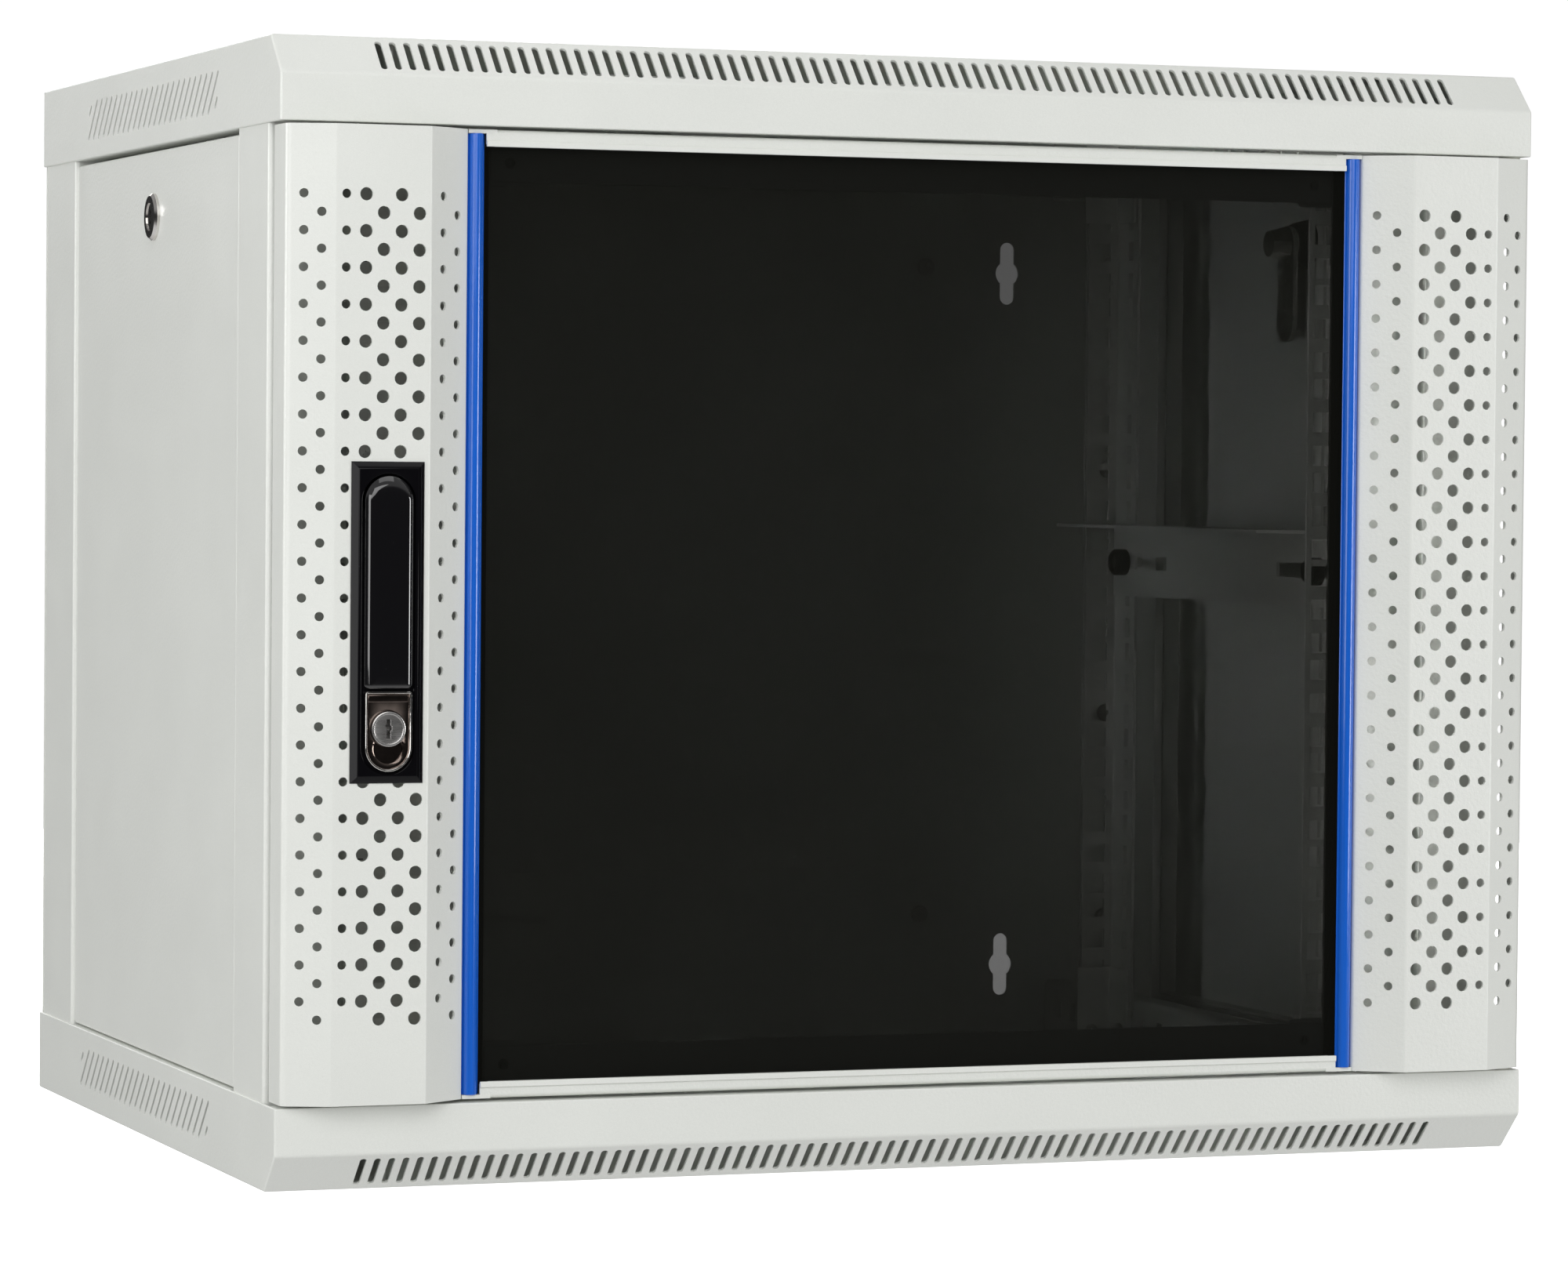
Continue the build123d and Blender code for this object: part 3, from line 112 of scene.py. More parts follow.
# ---------------------------------------------------------------- materials
class Finish:
    """One procedural material: a Principled shader and the nodes that feed it."""

    def __init__(self, name, colour, roughness, metallic=0.0):
        self.material = bpy.data.materials.new(name)
        self.material.use_nodes = True
        self.tree = self.material.node_tree
        self.shader = self.tree.nodes["Principled BSDF"]
        self.shader.inputs["Base Color"].default_value = (*colour, 1)
        self.shader.inputs["Roughness"].default_value = roughness
        self.shader.inputs["Metallic"].default_value = metallic
        self.colour = colour
        self.place = self.tree.nodes.new("ShaderNodeTexCoord").outputs["Object"]
        self.normal = None

    def node(self, kind, **inputs):
        made = self.tree.nodes.new(kind)
        for socket, value in inputs.items():
            self.feed(made.inputs[socket.replace("_", " ")], value)
        return made

    def feed(self, socket, value):
        if isinstance(value, bpy.types.NodeSocket):
            self.tree.links.new(value, socket)
        else:
            socket.default_value = value

    def stretched(self, stretch):
        place = self.node("ShaderNodeVectorMath", Vector=self.place)
        place.operation = "MULTIPLY"
        place.inputs[1].default_value = stretch
        return place.outputs[0]

    def noise(self, size, detail=2.0, stretch=(1, 1, 1), seed=(0, 0, 0)):
        """Noise with lumps about size metres across, longer along an axis where stretch is small."""
        place = self.node("ShaderNodeVectorMath", Vector=self.stretched(stretch))
        place.inputs[1].default_value = seed
        place = place.outputs[0]
        made = self.node("ShaderNodeTexNoise", Vector=place, Scale=1 / size, Detail=detail)
        return made.outputs["Fac"]

    def specks(self, size, share):
        """One inside scattered dots about size metres apart, zero elsewhere.

        share is a dot's radius as a share of size.
        """
        made = self.node("ShaderNodeTexVoronoi", Vector=self.place, Scale=1 / size, Randomness=1.0)
        return self.span(made.outputs["Distance"], 1, 0, share * 0.6, share)

    def span(self, value, low, high, start=0.3, end=0.7):
        """value from start to end, mapped to low to high."""
        made = self.node("ShaderNodeMapRange", Value=value)
        for socket, number in zip(("From Min", "From Max", "To Min", "To Max"), (start, end, low, high)):
            made.inputs[socket].default_value = number
        return made.outputs["Result"]

    def tint(self, value, *colours, start=0.3, end=0.7):
        """Blends the base colour from the first colour to the last as value goes from start to end."""
        ramp = self.node("ShaderNodeValToRGB", Fac=value)
        elements = ramp.color_ramp.elements
        elements[0].color = (*colours[0], 1)
        elements[1].color = (*colours[-1], 1)
        elements[0].position = start
        elements[1].position = end
        return ramp.outputs["Color"]

    def mixed(self, colour_a, colour_b, share):
        made = self.node("ShaderNodeMix")
        made.data_type = "RGBA"
        self.feed(made.inputs[0], share)
        self.feed(made.inputs[6], colour_a)
        self.feed(made.inputs[7], colour_b)
        return made.outputs[2]

    def paint(self, colour):
        self.feed(self.shader.inputs["Base Color"], colour)

    def rough(self, value, low, high):
        self.feed(self.shader.inputs["Roughness"], self.span(value, low, high))

    def bump(self, value, depth, strength=1.0):
        """Raises the surface by value times depth metres, on top of the bumps made before."""
        made = self.node("ShaderNodeBump", Height=value, Distance=depth, Strength=strength)
        if self.normal is not None:
            self.feed(made.inputs["Normal"], self.normal)
        self.normal = made.outputs["Normal"]
        self.feed(self.shader.inputs["Normal"], self.normal)

    def set(self, **values):
        for socket, value in values.items():
            self.shader.inputs[socket.replace("_", " ")].default_value = value
        return self


def shade(colour, factor):
    return tuple(channel * factor for channel in colour)


def powder_coat(name, colour, roughness, peel):
    """Baked powder paint: orange peel with a fine grain in it, slightly uneven in tone."""
    coat = Finish(name, colour, roughness)
    tone = coat.tint(coat.noise(0.07, 4), shade(colour, 0.975), shade(colour, 1.02))
    grain = coat.noise(0.00045, 3)
    fine = coat.tint(grain, shade(colour, 0.93), shade(colour, 1.04))
    coat.paint(coat.mixed(tone, fine, 0.35))
    orange_peel = coat.noise(0.0017, 2)
    coat.rough(coat.noise(0.03, 3), roughness - 0.02, roughness + 0.03)
    coat.bump(orange_peel, peel)
    coat.bump(grain, peel * 0.15)
    return coat.set(Specular_IOR_Level=0.5)


def make_glass_finish():
    """Tinted tempered glass: nearly black, faint roller waves, smears and dust in the polish."""
    glass = Finish("smoked_glass", (0.006, 0.0062, 0.0048), 0.03)
    glass.rough(glass.noise(0.09, 5, (1, 1, 0.6)), 0.02, 0.07)
    glass.bump(glass.noise(0.16, 1, (0.35, 1, 1)), 0.00012)
    return glass.set(Alpha=0.73, IOR=1.5, Specular_IOR_Level=0.3)


def make_trim_finish():
    """Blue lacquered extrusion: fine die lines along it under a clear gloss."""
    colour = (0.009, 0.122, 0.62)
    trim = Finish("blue_trim", colour, 0.2)
    lines = trim.noise(0.0006, 2, (1, 1, 0.01))
    trim.paint(trim.tint(lines, shade(colour, 0.93), shade(colour, 1.06)))
    trim.rough(trim.noise(0.006, 3, (1, 1, 0.15)), 0.12, 0.2)
    trim.bump(lines, 0.000008)
    return trim.set(Coat_Weight=0.3, Coat_Roughness=0.05)


def make_gloss_plastic(name, specular, coat):
    """Glossy black moulding: soft flow waves, tiny scuffs that dull it, dust specks."""
    black = Finish(name, (0.0035, 0.0033, 0.0042), 0.08)
    scuffs = black.noise(0.0009, 4, (1, 1, 0.12))
    black.rough(scuffs, 0.04, 0.11)
    dust = black.specks(0.0052, 0.035)
    black.paint(black.mixed((0.0035, 0.0033, 0.0042, 1), (0.05, 0.052, 0.055, 1), dust))
    black.bump(black.noise(0.011, 2), 0.00006)
    return black.set(Specular_IOR_Level=specular, Coat_Weight=coat, Coat_Roughness=0.03)


def make_matte_plastic():
    black = Finish("black_plastic", (0.014, 0.014, 0.015), 0.5)
    texture = black.noise(0.0005, 3)
    black.paint(black.tint(texture, (0.010, 0.010, 0.011), (0.020, 0.020, 0.021)))
    black.rough(black.noise(0.003, 3), 0.42, 0.62)
    black.bump(texture, 0.00004)
    return black


def make_chrome(name, dull, bright, polished, worn, ripple):
    """Plated die-casting: a slight cast ripple, fine hairlines, and a film that dulls it in places."""
    chrome = Finish(name, bright, polished, 1.0)
    hairlines = chrome.noise(0.0005, 3, (0.05, 1, 1))
    chrome.paint(chrome.tint(chrome.noise(0.004, 3), dull, bright))
    chrome.rough(hairlines, polished, worn)
    chrome.bump(chrome.noise(0.0035, 2), ripple)
    return chrome


def make_zinc():
    """Zinc plating: cloudy spangle, brushed lines, a warm cast in places."""
    zinc = Finish("zinc", (0.55, 0.55, 0.53), 0.34, 1.0)
    spangle = zinc.noise(0.0026, 5)
    zinc.paint(zinc.tint(spangle, (0.44, 0.44, 0.42), (0.64, 0.64, 0.62)))
    zinc.rough(zinc.noise(0.0007, 3, (1, 1, 0.2)), 0.24, 0.46)
    zinc.bump(spangle, 0.00003)
    return zinc


def make_foam():
    foam = Finish("foam_tape", (0.012, 0.012, 0.012), 0.92)
    cells = foam.noise(0.0006, 3)
    foam.paint(foam.tint(cells, (0.006, 0.006, 0.006), (0.024, 0.024, 0.023)))
    foam.bump(cells, 0.00015)
    return foam


def make_nylon():
    nylon = Finish("nylon", (0.72, 0.70, 0.63), 0.42)
    cloud = nylon.noise(0.003, 3)
    nylon.paint(nylon.tint(cloud, (0.66, 0.64, 0.57), (0.76, 0.745, 0.68)))
    nylon.rough(nylon.noise(0.0008, 2), 0.34, 0.52)
    nylon.bump(nylon.noise(0.0009, 2), 0.00002)
    return nylon.set(Subsurface_Weight=0.1)


def make_ink():
    """Screen-printed dark grey ink, a little thin in places."""
    ink = Finish("scale_ink", (0.03, 0.03, 0.03), 0.6)
    ink.paint(ink.tint(ink.noise(0.0004, 3), (0.02, 0.02, 0.02), (0.07, 0.07, 0.068)))
    return ink


FINISHES = {
    "body_paint": powder_coat("body_paint", (0.80, 0.815, 0.775), 0.31, 0.00013),
    "inner_paint": powder_coat("inner_paint", (0.70, 0.715, 0.675), 0.45, 0.00009),
    "smoked_glass": make_glass_finish(),
    "foam_tape": make_foam(),
    "blue_trim": make_trim_finish(),
    "black_gloss": make_gloss_plastic("black_gloss", 0.7, 0.8),
    "black_plastic": make_matte_plastic(),
    "chrome": make_chrome("chrome", (0.64, 0.61, 0.58), (0.74, 0.72, 0.70), 0.05, 0.14, 0.00005),
    "zinc": make_zinc(),
    "nylon": make_nylon(),
}
INK = make_ink()
PLATE_BLACK = make_gloss_plastic("black_gloss_plate", 0.16, 0.03)
SATIN_CHROME = make_chrome("chrome_satin", (0.45, 0.44, 0.43), (0.50, 0.49, 0.48), 0.25, 0.30, 0.000008)
# A dark brown copy of the chrome: painted shade and a painted dark reflection for the lock housing's
# recessed floor, ledge and pocket.
PAINTED_SHADE_CHROME = make_chrome("chrome_painted_shade", (0.15, 0.12, 0.105), (0.21, 0.17, 0.15), 0.06, 0.12, 0.00002)

for part in frame["record"]["subparts"]:
    node = nodes[part["node"]]
    node.data.materials.clear()
    node.data.materials.append(FINISHES[part["material_slot"]].material)


# ---------------------------------------------------------------- mesh helpers
class Shell:
    """A mesh made of closed loops in the XZ plane, walls between them and flat caps with holes."""

    def __init__(self):
        self.mesh = bmesh.new()

    def loop(self, outline, y):
        return [self.mesh.verts.new((x, y, z)) for x, z in outline]

    def wall(self, one, other):
        count = len(one)
        for i in range(count):
            j = (i + 1) % count
            self.mesh.faces.new((one[i], one[j], other[j], other[i]))

    def tube(self, rings):
        """Joins rings of (outline, y) one after another and gives the first and last loop."""
        loops = [self.loop(outline, y) for outline, y in rings]
        for one, other in zip(loops, loops[1:]):
            self.wall(one, other)
        return loops[0], loops[-1]

    def cap(self, outer, holes=()):
        loops = [outer, *holes]
        points = []
        sides = []
        faces = []
        for corner_loop in loops:
            first = len(points)
            points += [Vector((corner.co.x, corner.co.z)) for corner in corner_loop]
            ring = list(range(first, len(points)))
            faces.append(ring)
            sides += list(zip(ring, ring[1:] + ring[:1]))
        corners = [corner for corner_loop in loops for corner in corner_loop]
        made = delaunay_2d_cdt(points, sides, [], 0, 1e-9)
        new_points, triangles, origins = made[0], made[2], made[3]
        for triangle in triangles:
            middle = sum((new_points[i] for i in triangle), Vector((0, 0))) / 3
            inside = contains(faces[0], points, middle)
            if inside and not any(contains(hole, points, middle) for hole in faces[1:]):
                trio = [corners[origins[i][0]] for i in triangle]
                self.mesh.faces.new(trio)

    def finish(self, name, finish, angle=30):
        bmesh.ops.recalc_face_normals(self.mesh, faces=self.mesh.faces)
        data = bpy.data.meshes.new(name)
        self.mesh.to_mesh(data)
        self.mesh.free()
        return place_mesh(name, data, finish, angle)


def contains(ring, points, spot):
    inside = False
    for i, j in zip(ring, ring[-1:] + ring[:-1]):
        a = points[i]
        b = points[j]
        if (a.y > spot.y) != (b.y > spot.y):
            if spot.x < (b.x - a.x) * (spot.y - a.y) / (b.y - a.y) + a.x:
                inside = not inside
    return inside


def place_mesh(name, data, finish, angle):
    piece = bpy.data.objects.new(name, data)
    bpy.context.scene.collection.objects.link(piece)
    data.materials.append(finish.material)
    for face in data.polygons:
        face.use_smooth = True
    data.set_sharp_from_angle(angle=math.radians(angle))
    return piece


def rectangle(x0, x1, z0, z1):
    return [(x0, z0), (x1, z0), (x1, z1), (x0, z1)]


def circle(x, z, radius, count=48):
    turns = [2 * math.pi * i / count for i in range(count)]
    return [(x + radius * math.cos(turn), z + radius * math.sin(turn)) for turn in turns]


def arc(x, z, radius, start, end, count):
    turns = [math.radians(start + (end - start) * i / count) for i in range(count + 1)]
    return [(x + radius * math.cos(turn), z + radius * math.sin(turn)) for turn in turns]


def stadium(x, half_width, low, high, count=24):
    """A vertical slot shape: low and high are the centres of its round ends."""
    upper = arc(x, high, half_width, 0, 180, count)
    lower = arc(x, low, half_width, 180, 360, count)
    return upper + lower


def add_prism(mesh, outline, start, end, axis):
    """A closed bar whose outline lies across the axis: 0 for X, 2 for Z. Its ends are slightly rounded."""
    middle = [sum(values) / len(outline) for values in zip(*outline)]
    reach = abs(end - start)
    inward = 1 if end > start else -1
    rings = ((0.0, 0.93), (0.25 * MM, 0.985), (0.5 * MM, 1.0), (reach - 0.5 * MM, 1.0),
             (reach - 0.25 * MM, 0.985), (reach, 0.93))
    loops = []
    for offset, scale in rings:
        along = start + inward * offset
        corners = []
        for u, v in outline:
            u = middle[0] + (u - middle[0]) * scale
            v = middle[1] + (v - middle[1]) * scale
            corners.append(mesh.verts.new((along, u, v) if axis == 0 else (u, v, along)))
        loops.append(corners)
    for one, other in zip(loops, loops[1:]):
        for i in range(len(one)):
            j = (i + 1) % len(one)
            mesh.faces.new((one[i], one[j], other[j], other[i]))
    mesh.faces.new(loops[0])
    mesh.faces.new(loops[-1])


# ---------------------------------------------------------------- swing handle
plate_low, plate_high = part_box("handle_base")
HANDLE_X = (plate_low.x + plate_high.x) / 2
PLATE_FRONT = plate_low.y
PLATE_BACK = PLATE_FRONT + 2.2 * MM
DISH_FLOOR = PLATE_FRONT + DISH_DEPTH
lever_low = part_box("handle_lever")[0]
lock_low, lock_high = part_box("lock_housing")
LOCK_ARC_Z = lock_low.z + (lock_high.x - lock_low.x) / 2


def make_plate():
    """The bevelled plate with the dish that the lever and the lock sit in, and the pivot's cup."""
    shell = Shell()
    x0, x1, z0, z1 = plate_low.x, plate_high.x, plate_low.z, plate_high.z
    rings = []
    profile = ((0.15, 0.0), (0.0, 0.12), (0.0, 0.35), (0.12, 0.5), (2.85, 2.06), (3.03, 2.18), (3.3, 2.2))
    for inset, depth in profile:
        step = inset * MM
        rings.append((rectangle(x0 + step, x1 - step, z0 + step, z1 - step), PLATE_BACK - depth * MM))
    back, front = shell.tube(rings)
    half = LEVER_HALF_WIDTH + DISH_MARGIN
    rings = []
    for grow, depth in ((0.35, 0.0), (0.12, 0.06), (0.0, 0.3), (-0.05, 0.75), (-0.25, 0.9)):
        outline = stadium(HANDLE_X, half + grow * MM, LOCK_ARC_Z, PIVOT_Z)
        rings.append((outline, PLATE_FRONT + depth * MM))
    dish_top, dish_floor = shell.tube(rings)
    shell.cap(front, [dish_top])
    recess_floor_y = PLATE_BACK + CUP_DEPTH
    seat = circle(HANDLE_X, LOCK_Z, PLATE_LOCK_BORE)
    seat_top, seat_back = shell.tube([(seat, DISH_FLOOR), (seat, PLATE_BACK)])
    lip = circle(HANDLE_X, PIVOT_Z, PIVOT_RECESS)
    recess = circle(HANDLE_X, PIVOT_Z, PIVOT_RECESS - 0.03 * MM)
    lip_top, lip_floor = shell.tube([(lip, DISH_FLOOR), (recess, recess_floor_y)])
    shell.cap(dish_floor, [lip_top, seat_top])
    bore = circle(HANDLE_X, PIVOT_Z, SPINDLE_BORE)
    bore_top, bore_back = shell.tube([(bore, recess_floor_y), (bore, plate_high.y)])
    shell.cap(lip_floor, [bore_top])
    cup = circle(HANDLE_X, PIVOT_Z, CUP_RADIUS)
    cup_back, cup_front = shell.tube([(cup, plate_high.y), (cup, PLATE_BACK)])
    shell.cap(cup_back, [bore_back])
    shell.cap(back, [cup_front, seat_back])
    return shell.finish("handle_plate", PLATE_BLACK)


def lever_outline(side, top, foot):
    """The lever from the front, drawn in by side, top and foot at its sides, top and lower end."""
    half = LEVER_HALF_WIDTH - side
    points = []
    for turn in range(33):
        angle = math.pi * turn / 32
        points.append((HANDLE_X + half * math.cos(angle),
                       PIVOT_Z + (LEVER_HALF_WIDTH - top) * math.sin(angle)))
    low = lever_low.z + foot
    corner = max(2.5 * MM - side * 0.7, 0.6 * MM)
    points += arc(HANDLE_X - half + corner, low + corner, corner, 180, 270, 6)
    points += arc(HANDLE_X + half - corner, low + corner, corner, 270, 360, 6)
    return points


def make_lever():
    """The lever: a crowned bar with sloping sides and top, and a rounded crest that catches the light."""
    shell = Shell()
    front = lever_low.y
    back = plate_low.y - 0.1 * MM
    profile = ((0.35, 0.35, 0.35, back), (0.08, 0.08, 0.08, back - 0.12 * MM),
               (0.0, 0.0, 0.0, back - 0.45 * MM), (0.12, 0.2, 0.1, back - 0.9 * MM),
               (1.55, 3.2, 0.9, front + 0.62 * MM),
               (1.8, 3.5, 1.15, front + 0.42 * MM), (2.15, 3.9, 1.5, front + 0.26 * MM),
               (2.6, 4.35, 1.95, front + 0.15 * MM), (3.3, 5.0, 2.6, front + 0.08 * MM),
               (6.0, 7.4, 6.0, front + 0.02 * MM), (9.0, 9.4, 12.0, front))
    rings = []
    for side, top, foot, y in profile:
        rings.append((lever_outline(side * MM, top * MM, foot * MM), y))
    first, last = shell.tube(rings)
    shell.mesh.faces.new(first)
    shell.mesh.faces.new(last)
    pin_y = plate_low.y + PIN_DEPTH
    hook = [(pin_y + HOOK_RADIUS * math.sin(turn), PIVOT_Z + HOOK_RADIUS * math.cos(turn))
            for turn in (math.pi * i / 12 for i in range(13))]
    hook += [(back, PIVOT_Z - HOOK_RADIUS), (back, PIVOT_Z + HOOK_RADIUS)]
    for sign in (1, -1):
        near, far = (HANDLE_X + sign * reach for reach in HOOK_SPAN)
        add_prism(shell.mesh, hook, near, far, 0)
    return shell.finish("handle_lever_bar", FINISHES["black_gloss"], angle=40)


def housing_outline(inset):
    half = (lock_high.x - lock_low.x) / 2 - inset
    corner = max(1.2 * MM - inset, 0.3 * MM)
    top = lock_high.z - inset
    points = arc(HANDLE_X + half - corner, top - corner, corner, 0, 90, 4)
    points += arc(HANDLE_X - half + corner, top - corner, corner, 90, 180, 4)
    return points + arc(HANDLE_X, LOCK_ARC_Z, half, 180, 360, 28)


def make_lock_housing():
    """The chrome escutcheon: a rounded rim, a floor with a ledge, and a shallow pocket under the lock. The
    floor, ledge and pocket take a dark brown copy of the chrome, which is painted shade and a painted dark
    reflection in the recess.
    """
    shell = Shell()
    front = lock_low.y
    floor = PLATE_FRONT - 0.5 * MM
    profile = ((0.1, DISH_FLOOR - 0.02 * MM), (0.0, PLATE_FRONT), (0.0, front + 0.45 * MM),
               (0.1, front + 0.16 * MM), (0.32, front), (0.72, front), (0.98, front + 0.2 * MM),
               (1.1, front + 0.5 * MM), (1.3, floor))
    back, rim = shell.tube([(housing_outline(inset * MM), y) for inset, y in profile])
    pocket_z = LOCK_Z - POCKET_DROP
    apart = LOCK_Z - pocket_z
    drop = (LOCK_RECESS_RADIUS**2 - POCKET_RADIUS**2 + apart**2) / (2 * apart)
    meet = math.degrees(math.asin(drop / LOCK_RECESS_RADIUS))
    across = math.sqrt(LOCK_RECESS_RADIUS**2 - drop**2)
    pocket_meet = math.degrees(math.acos(across / POCKET_RADIUS))

    def recess(grow):
        """The keyhole-shaped recess: the lock's circle above, the pocket's below."""
        upper = arc(HANDLE_X, LOCK_Z, LOCK_RECESS_RADIUS + grow, -meet, 180 + meet, 36)
        lower = arc(HANDLE_X, pocket_z, POCKET_RADIUS + grow, 180 - pocket_meet, 360 + pocket_meet, 28)
        return upper + lower[1:-1]

    edge, pocket = shell.tube([(recess(0.2 * MM), floor), (recess(0.05 * MM), floor + 0.08 * MM),
                               (recess(0), floor + 0.3 * MM), (recess(0), floor + 0.9 * MM)])
    shell.cap(rim, [edge])
    seat = circle(HANDLE_X, LOCK_Z, LOCK_SEAT_RADIUS)
    seat_top, seat_back = shell.tube([(seat, floor + 0.9 * MM), (seat, DISH_FLOOR - 0.02 * MM)])
    shell.cap(pocket, [seat_top])
    shell.cap(back, [seat_back])
    ledge_half = (lock_high.x - lock_low.x) / 2 - 1.5 * MM
    profile = ((0.0, floor + 0.1 * MM), (0.0, floor - 0.08 * MM),
               (0.1, floor - 0.16 * MM), (0.3, floor - 0.2 * MM))
    rings = []
    for inset, y in profile:
        step = inset * MM
        outline = rectangle(HANDLE_X - ledge_half + step, HANDLE_X + ledge_half - step,
                            lock_high.z - 4.6 * MM + step, lock_high.z - 1.6 * MM - step)
        rings.append((outline, y))
    first, last = shell.tube(rings)
    shell.mesh.faces.new(first)
    shell.mesh.faces.new(last)
    piece = shell.finish("lock_escutcheon", FINISHES["chrome"], angle=35)
    # Faces at the floor and behind it (floor, ledge, pocket) get the dark chrome copy: painted shade and a
    # painted dark reflection in the recess.
    piece.data.materials.append(PAINTED_SHADE_CHROME.material)
    for face in piece.data.polygons:
        face.material_index = int(face.center.y > floor - 0.25 * MM)
    return piece


def make_lock_plug():
    """The lock's round face: a rolled rim, a faintly dished face and a stepped keyway."""
    shell = Shell()
    low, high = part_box("lock_cylinder")
    radius = (high.x - low.x) / 2
    profile = ((0.0, high.y), (0.0, low.y + 0.5 * MM), (0.12, low.y + 0.16 * MM), (0.4, low.y),
               (0.95, low.y), (1.2, low.y + 0.1 * MM), (1.35, low.y + 0.3 * MM), (1.7, low.y + 0.36 * MM))
    back, face = shell.tube([(circle(HANDLE_X, LOCK_Z, radius - inset * MM), y) for inset, y in profile])
    shell.mesh.faces.new(back)
    keyway = [(-0.75, -4.2), (0.75, -4.2), (0.75, -0.6), (1.35, -0.6), (1.35, 1.4), (0.75, 1.4), (0.75, 4.2),
              (-0.75, 4.2), (-0.75, 2.2), (-1.3, 2.2), (-1.3, 0.6), (-0.75, 0.6)]

    def slot(grow):
        """The keyway's outline, grown outwards by so many millimetres."""
        return [(HANDLE_X + (x + math.copysign(grow, x)) * MM, LOCK_Z + (z + math.copysign(grow, z)) * MM)
                for x, z in keyway]

    face_y = low.y + 0.36 * MM
    edge, floor = shell.tube([(slot(0.22), face_y), (slot(0.0), face_y + 0.25 * MM),
                              (slot(0.0), face_y + KEYWAY_DEPTH)])
    shell.cap(face, [edge])
    shell.mesh.faces.new(floor)
    return shell.finish("lock_plug", SATIN_CHROME, angle=35)


def make_handle():
    for piece, body, node, slot in (
            (make_plate(), "door", "handle_base", "black_gloss"),
            (make_lever(), "handle_lever", "handle_lever", "black_gloss"),
            (make_lock_housing(), "door", "lock_housing", "chrome"),
            (make_lock_plug(), "door_lock", "lock_cylinder", "chrome")):
        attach(piece, body)
        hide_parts(node)


# ---------------------------------------------------------------- trim strips
def make_trims():
    """The blue strips: a half-round bead between two thin flanges."""
    for side in ("left", "right"):
        low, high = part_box(f"trim_strip_{side}")
        middle = (low.x + high.x) / 2
        half = (high.x - low.x) / 2
        flange = TRIM_FLANGE
        bead = half - TRIM_SHOULDER
        rise = high.y - low.y - flange
        profile = [(middle + half, high.y), (middle + half, high.y - flange * 0.6),
                   (middle + half - 0.2 * MM, high.y - flange)]
        for step in range(25):
            turn = math.pi * step / 24
            profile.append((middle + bead * math.cos(turn), high.y - flange - rise * math.sin(turn)))
        profile += [(middle - half + 0.2 * MM, high.y - flange), (middle - half, high.y - flange * 0.6),
                    (middle - half, high.y)]
        shell = Shell()
        add_prism(shell.mesh, profile, low.z, high.z, 2)
        piece = shell.finish(f"trim_bead_{side}", FINISHES["blue_trim"], angle=40)
        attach(piece, "door")
        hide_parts(f"trim_strip_{side}")


# ---------------------------------------------------------------- unit marks on the front rails
def make_unit_marks():
    """Printed ticks at every unit boundary, on the outer edge of each front rail."""
    for side, sign in (("left", -1), ("right", 1)):
        low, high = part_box(f"rack_rail_front_{side}")
        outer = high.x if sign > 0 else low.x
        middle_z = (low.z + high.z) / 2
        shell = Shell()
        for unit in range(UNITS + 1):
            z = middle_z + (unit - UNITS / 2) * UNIT
            near = outer - sign * TICK_INSET
            ends = sorted((near, near - sign * TICK_LENGTH))
            outline = arc(ends[1], z, TICK_HALF_HEIGHT, -90, 90, 6)
            outline += arc(ends[0], z, TICK_HALF_HEIGHT, 90, 270, 6)
            back, front = shell.tube([(outline, low.y), (outline, low.y - TICK_THICKNESS)])
            shell.mesh.faces.new(back)
            shell.mesh.faces.new(front)
        marks = shell.finish(f"unit_marks_{side}", INK)
        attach(marks, "cabinet")


make_handle()
make_trims()
make_unit_marks()


# ---------------------------------------------------------------- camera, light and floor
def make_camera():
    yaw, pitch, roll = (math.radians(angle) for angle in (CAMERA_YAW, CAMERA_PITCH, CAMERA_ROLL))
    ahead = Vector((math.sin(yaw) * math.cos(pitch), math.cos(yaw) * math.cos(pitch), math.sin(pitch)))
    right = ahead.cross(Vector((0, 0, 1))).normalized()
    up = right.cross(ahead)
    rolled_right = right * math.cos(roll) + up * math.sin(roll)
    rolled_up = up * math.cos(roll) - right * math.sin(roll)
    data = bpy.data.cameras.new("camera")
    data.lens = CAMERA_LENS
    data.sensor_width = SENSOR
    camera = bpy.data.objects.new("camera", data)
    turn = Matrix((rolled_right, rolled_up, -ahead)).transposed()
    camera.matrix_world = Matrix.Translation(CAMERA_PLACE) @ turn.to_4x4()
    bpy.context.scene.collection.objects.link(camera)
    bpy.context.scene.camera = camera


def make_light(name, azimuth, elevation, distance, size, brightness):
    """A square soft box. A white card that faces it is as bright as brightness says."""
    data = bpy.data.lights.new(name, "AREA")
    data.shape = "SQUARE"
    data.size = size
    data.energy = brightness * math.pi**2 * distance**2
    around = math.radians(azimuth)
    up = math.radians(elevation)
    toward = Vector((math.sin(around) * math.cos(up), -math.cos(around) * math.cos(up), math.sin(up)))
    light = bpy.data.objects.new(name, data)
    light.location = LIGHT_TARGET + toward * distance
    light.rotation_euler = toward.to_track_quat("Z", "Y").to_euler()
    light.visible_camera = False
    bpy.context.scene.collection.objects.link(light)


def make_inside_light(name, place, aim, spread, power):
    """A narrow upright strip in the case, out of sight, that lights the far wall or a rail."""
    data = bpy.data.lights.new(name, "AREA")
    data.shape = "RECTANGLE"
    data.size = INSIDE_LIGHT_WIDTH
    data.size_y = INSIDE_LIGHT_HEIGHT
    data.energy = power
    data.spread = math.radians(spread)
    light = bpy.data.objects.new(name, data)
    light.location = place
    light.rotation_euler = (-Vector(aim)).to_track_quat("Z", "Y").to_euler()
    light.visible_camera = False
    light.visible_glossy = False
    bpy.context.scene.collection.objects.link(light)


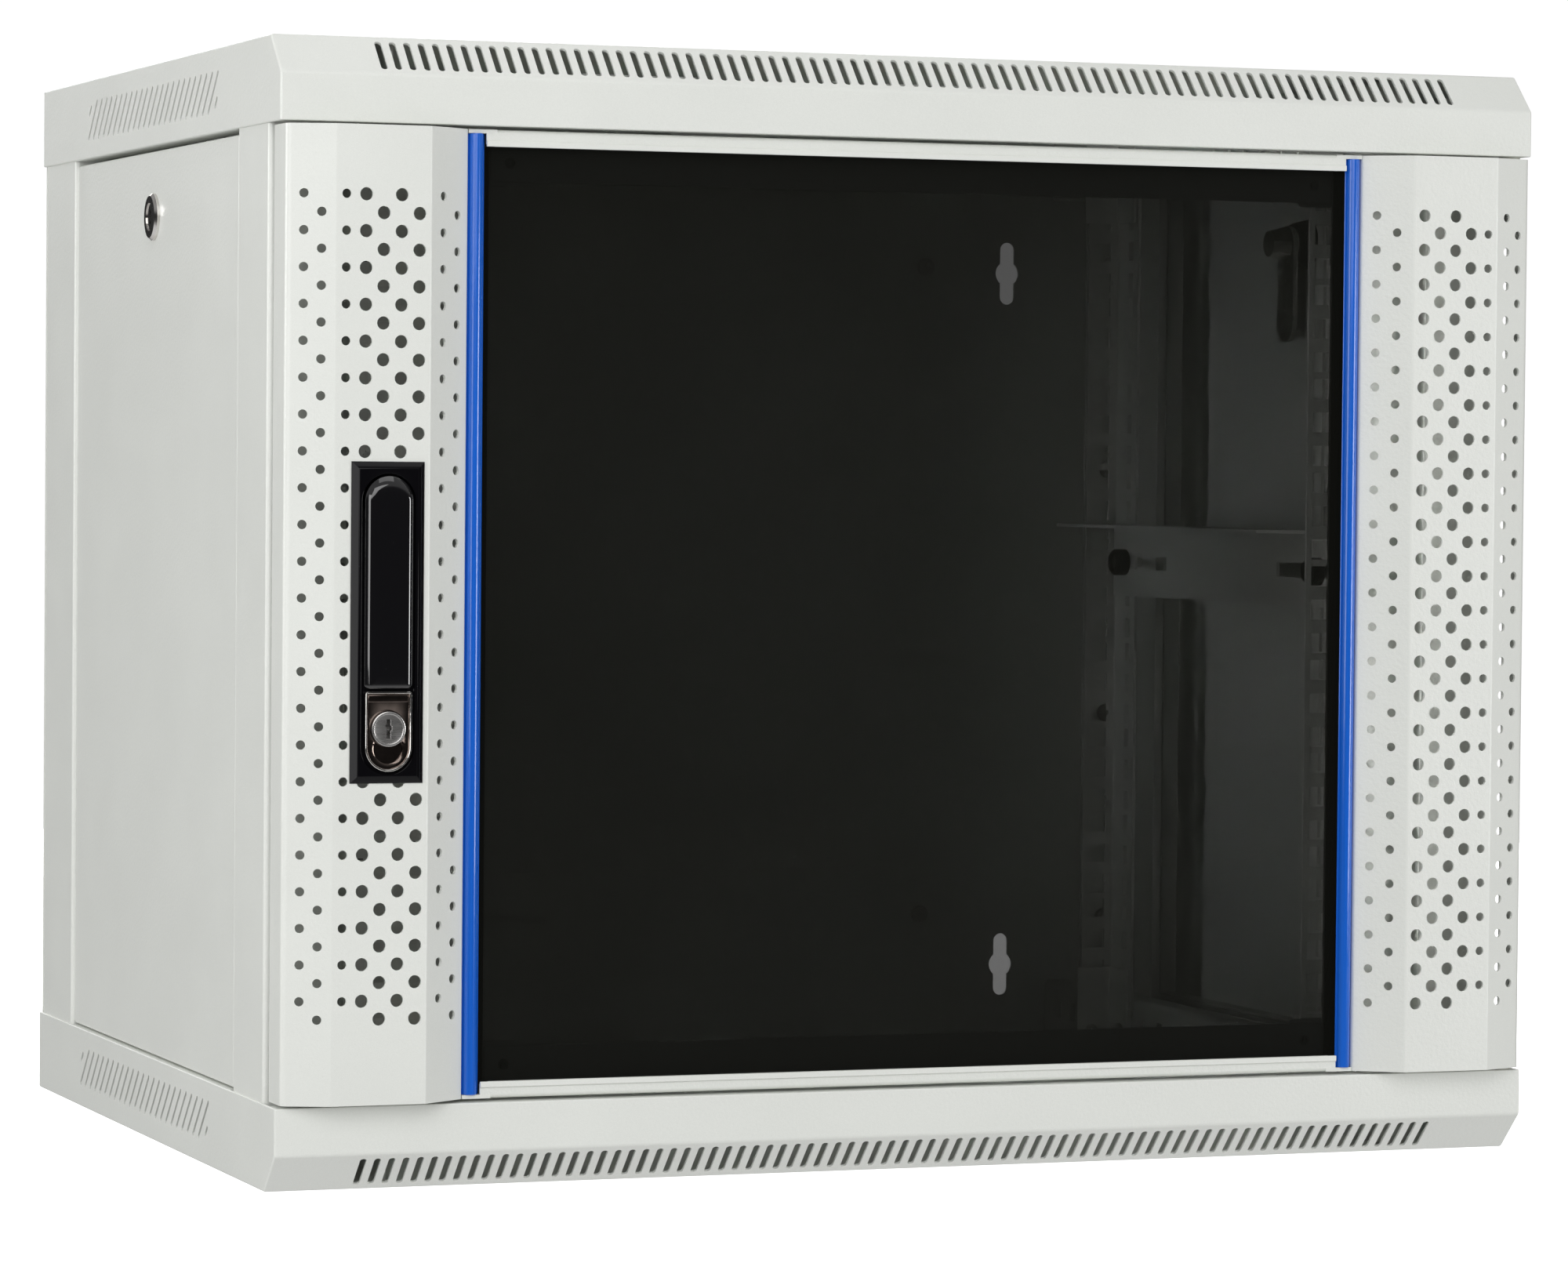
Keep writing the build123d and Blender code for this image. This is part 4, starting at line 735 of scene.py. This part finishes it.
def make_world():
    """White to the camera; to everything else a dim studio over a pale ground."""
    world = bpy.data.worlds.new("studio")
    bpy.context.scene.world = world
    world.use_nodes = True
    tree = world.node_tree
    backdrop = tree.nodes["Background"]
    backdrop.inputs["Color"].default_value = (1, 1, 1, 1)
    backdrop.inputs["Strength"].default_value = WHITE
    ambient = tree.nodes.new("ShaderNodeBackground")
    direction = tree.nodes.new("ShaderNodeTexCoord").outputs["Generated"]
    parts = tree.nodes.new("ShaderNodeSeparateXYZ")
    tree.links.new(direction, parts.inputs[0])
    level = tree.nodes.new("ShaderNodeFloatCurve")
    height = tree.nodes.new("ShaderNodeMapRange")
    height.inputs["From Min"].default_value = -1
    tree.links.new(parts.outputs["Z"], height.inputs["Value"])
    tree.links.new(height.outputs["Result"], level.inputs["Value"])
    points = level.mapping.curves[0].points
    points[0].location = (0, GROUND)
    points[1].location = (1, SKY)
    for place, value in ((0.2, GROUND), (0.44, HORIZON), (0.56, HORIZON), (0.72, SKY)):
        points.new(place, value)
    level.mapping.update()
    tree.links.new(level.outputs["Value"], ambient.inputs["Strength"])
    seen = tree.nodes.new("ShaderNodeLightPath").outputs["Is Camera Ray"]
    choice = tree.nodes.new("ShaderNodeMixShader")
    tree.links.new(seen, choice.inputs[0])
    tree.links.new(ambient.outputs[0], choice.inputs[1])
    tree.links.new(backdrop.outputs[0], choice.inputs[2])
    tree.links.new(choice.outputs[0], tree.nodes["World Output"].inputs["Surface"])


def make_floor():
    """A round sheet of white paper, lit from beneath, that runs out into the white backdrop."""
    mesh = bmesh.new()
    bmesh.ops.create_circle(mesh, cap_ends=True, radius=FLOOR_RADIUS, segments=96)
    data = bpy.data.meshes.new("floor")
    mesh.to_mesh(data)
    mesh.free()
    floor = bpy.data.objects.new("floor", data)
    floor.location.z = -0.5 * MM
    bpy.context.scene.collection.objects.link(floor)
    paper = Finish("floor_paper", (0.9, 0.9, 0.9), 0.9)
    paper.set(Emission_Color=(1, 1, 1, 1), Emission_Strength=1.0, Specular_IOR_Level=0.0)
    data.materials.append(paper.material)
    floor.visible_diffuse = False
    floor.visible_glossy = False
    floor.visible_shadow = False


make_camera()
for name, place in LIGHTS.items():
    make_light(name, **place)
for name, setting in INSIDE_LIGHTS.items():
    make_inside_light(name, **setting)
make_world()
make_floor()
bpy.context.scene.view_settings.view_transform = "Standard"
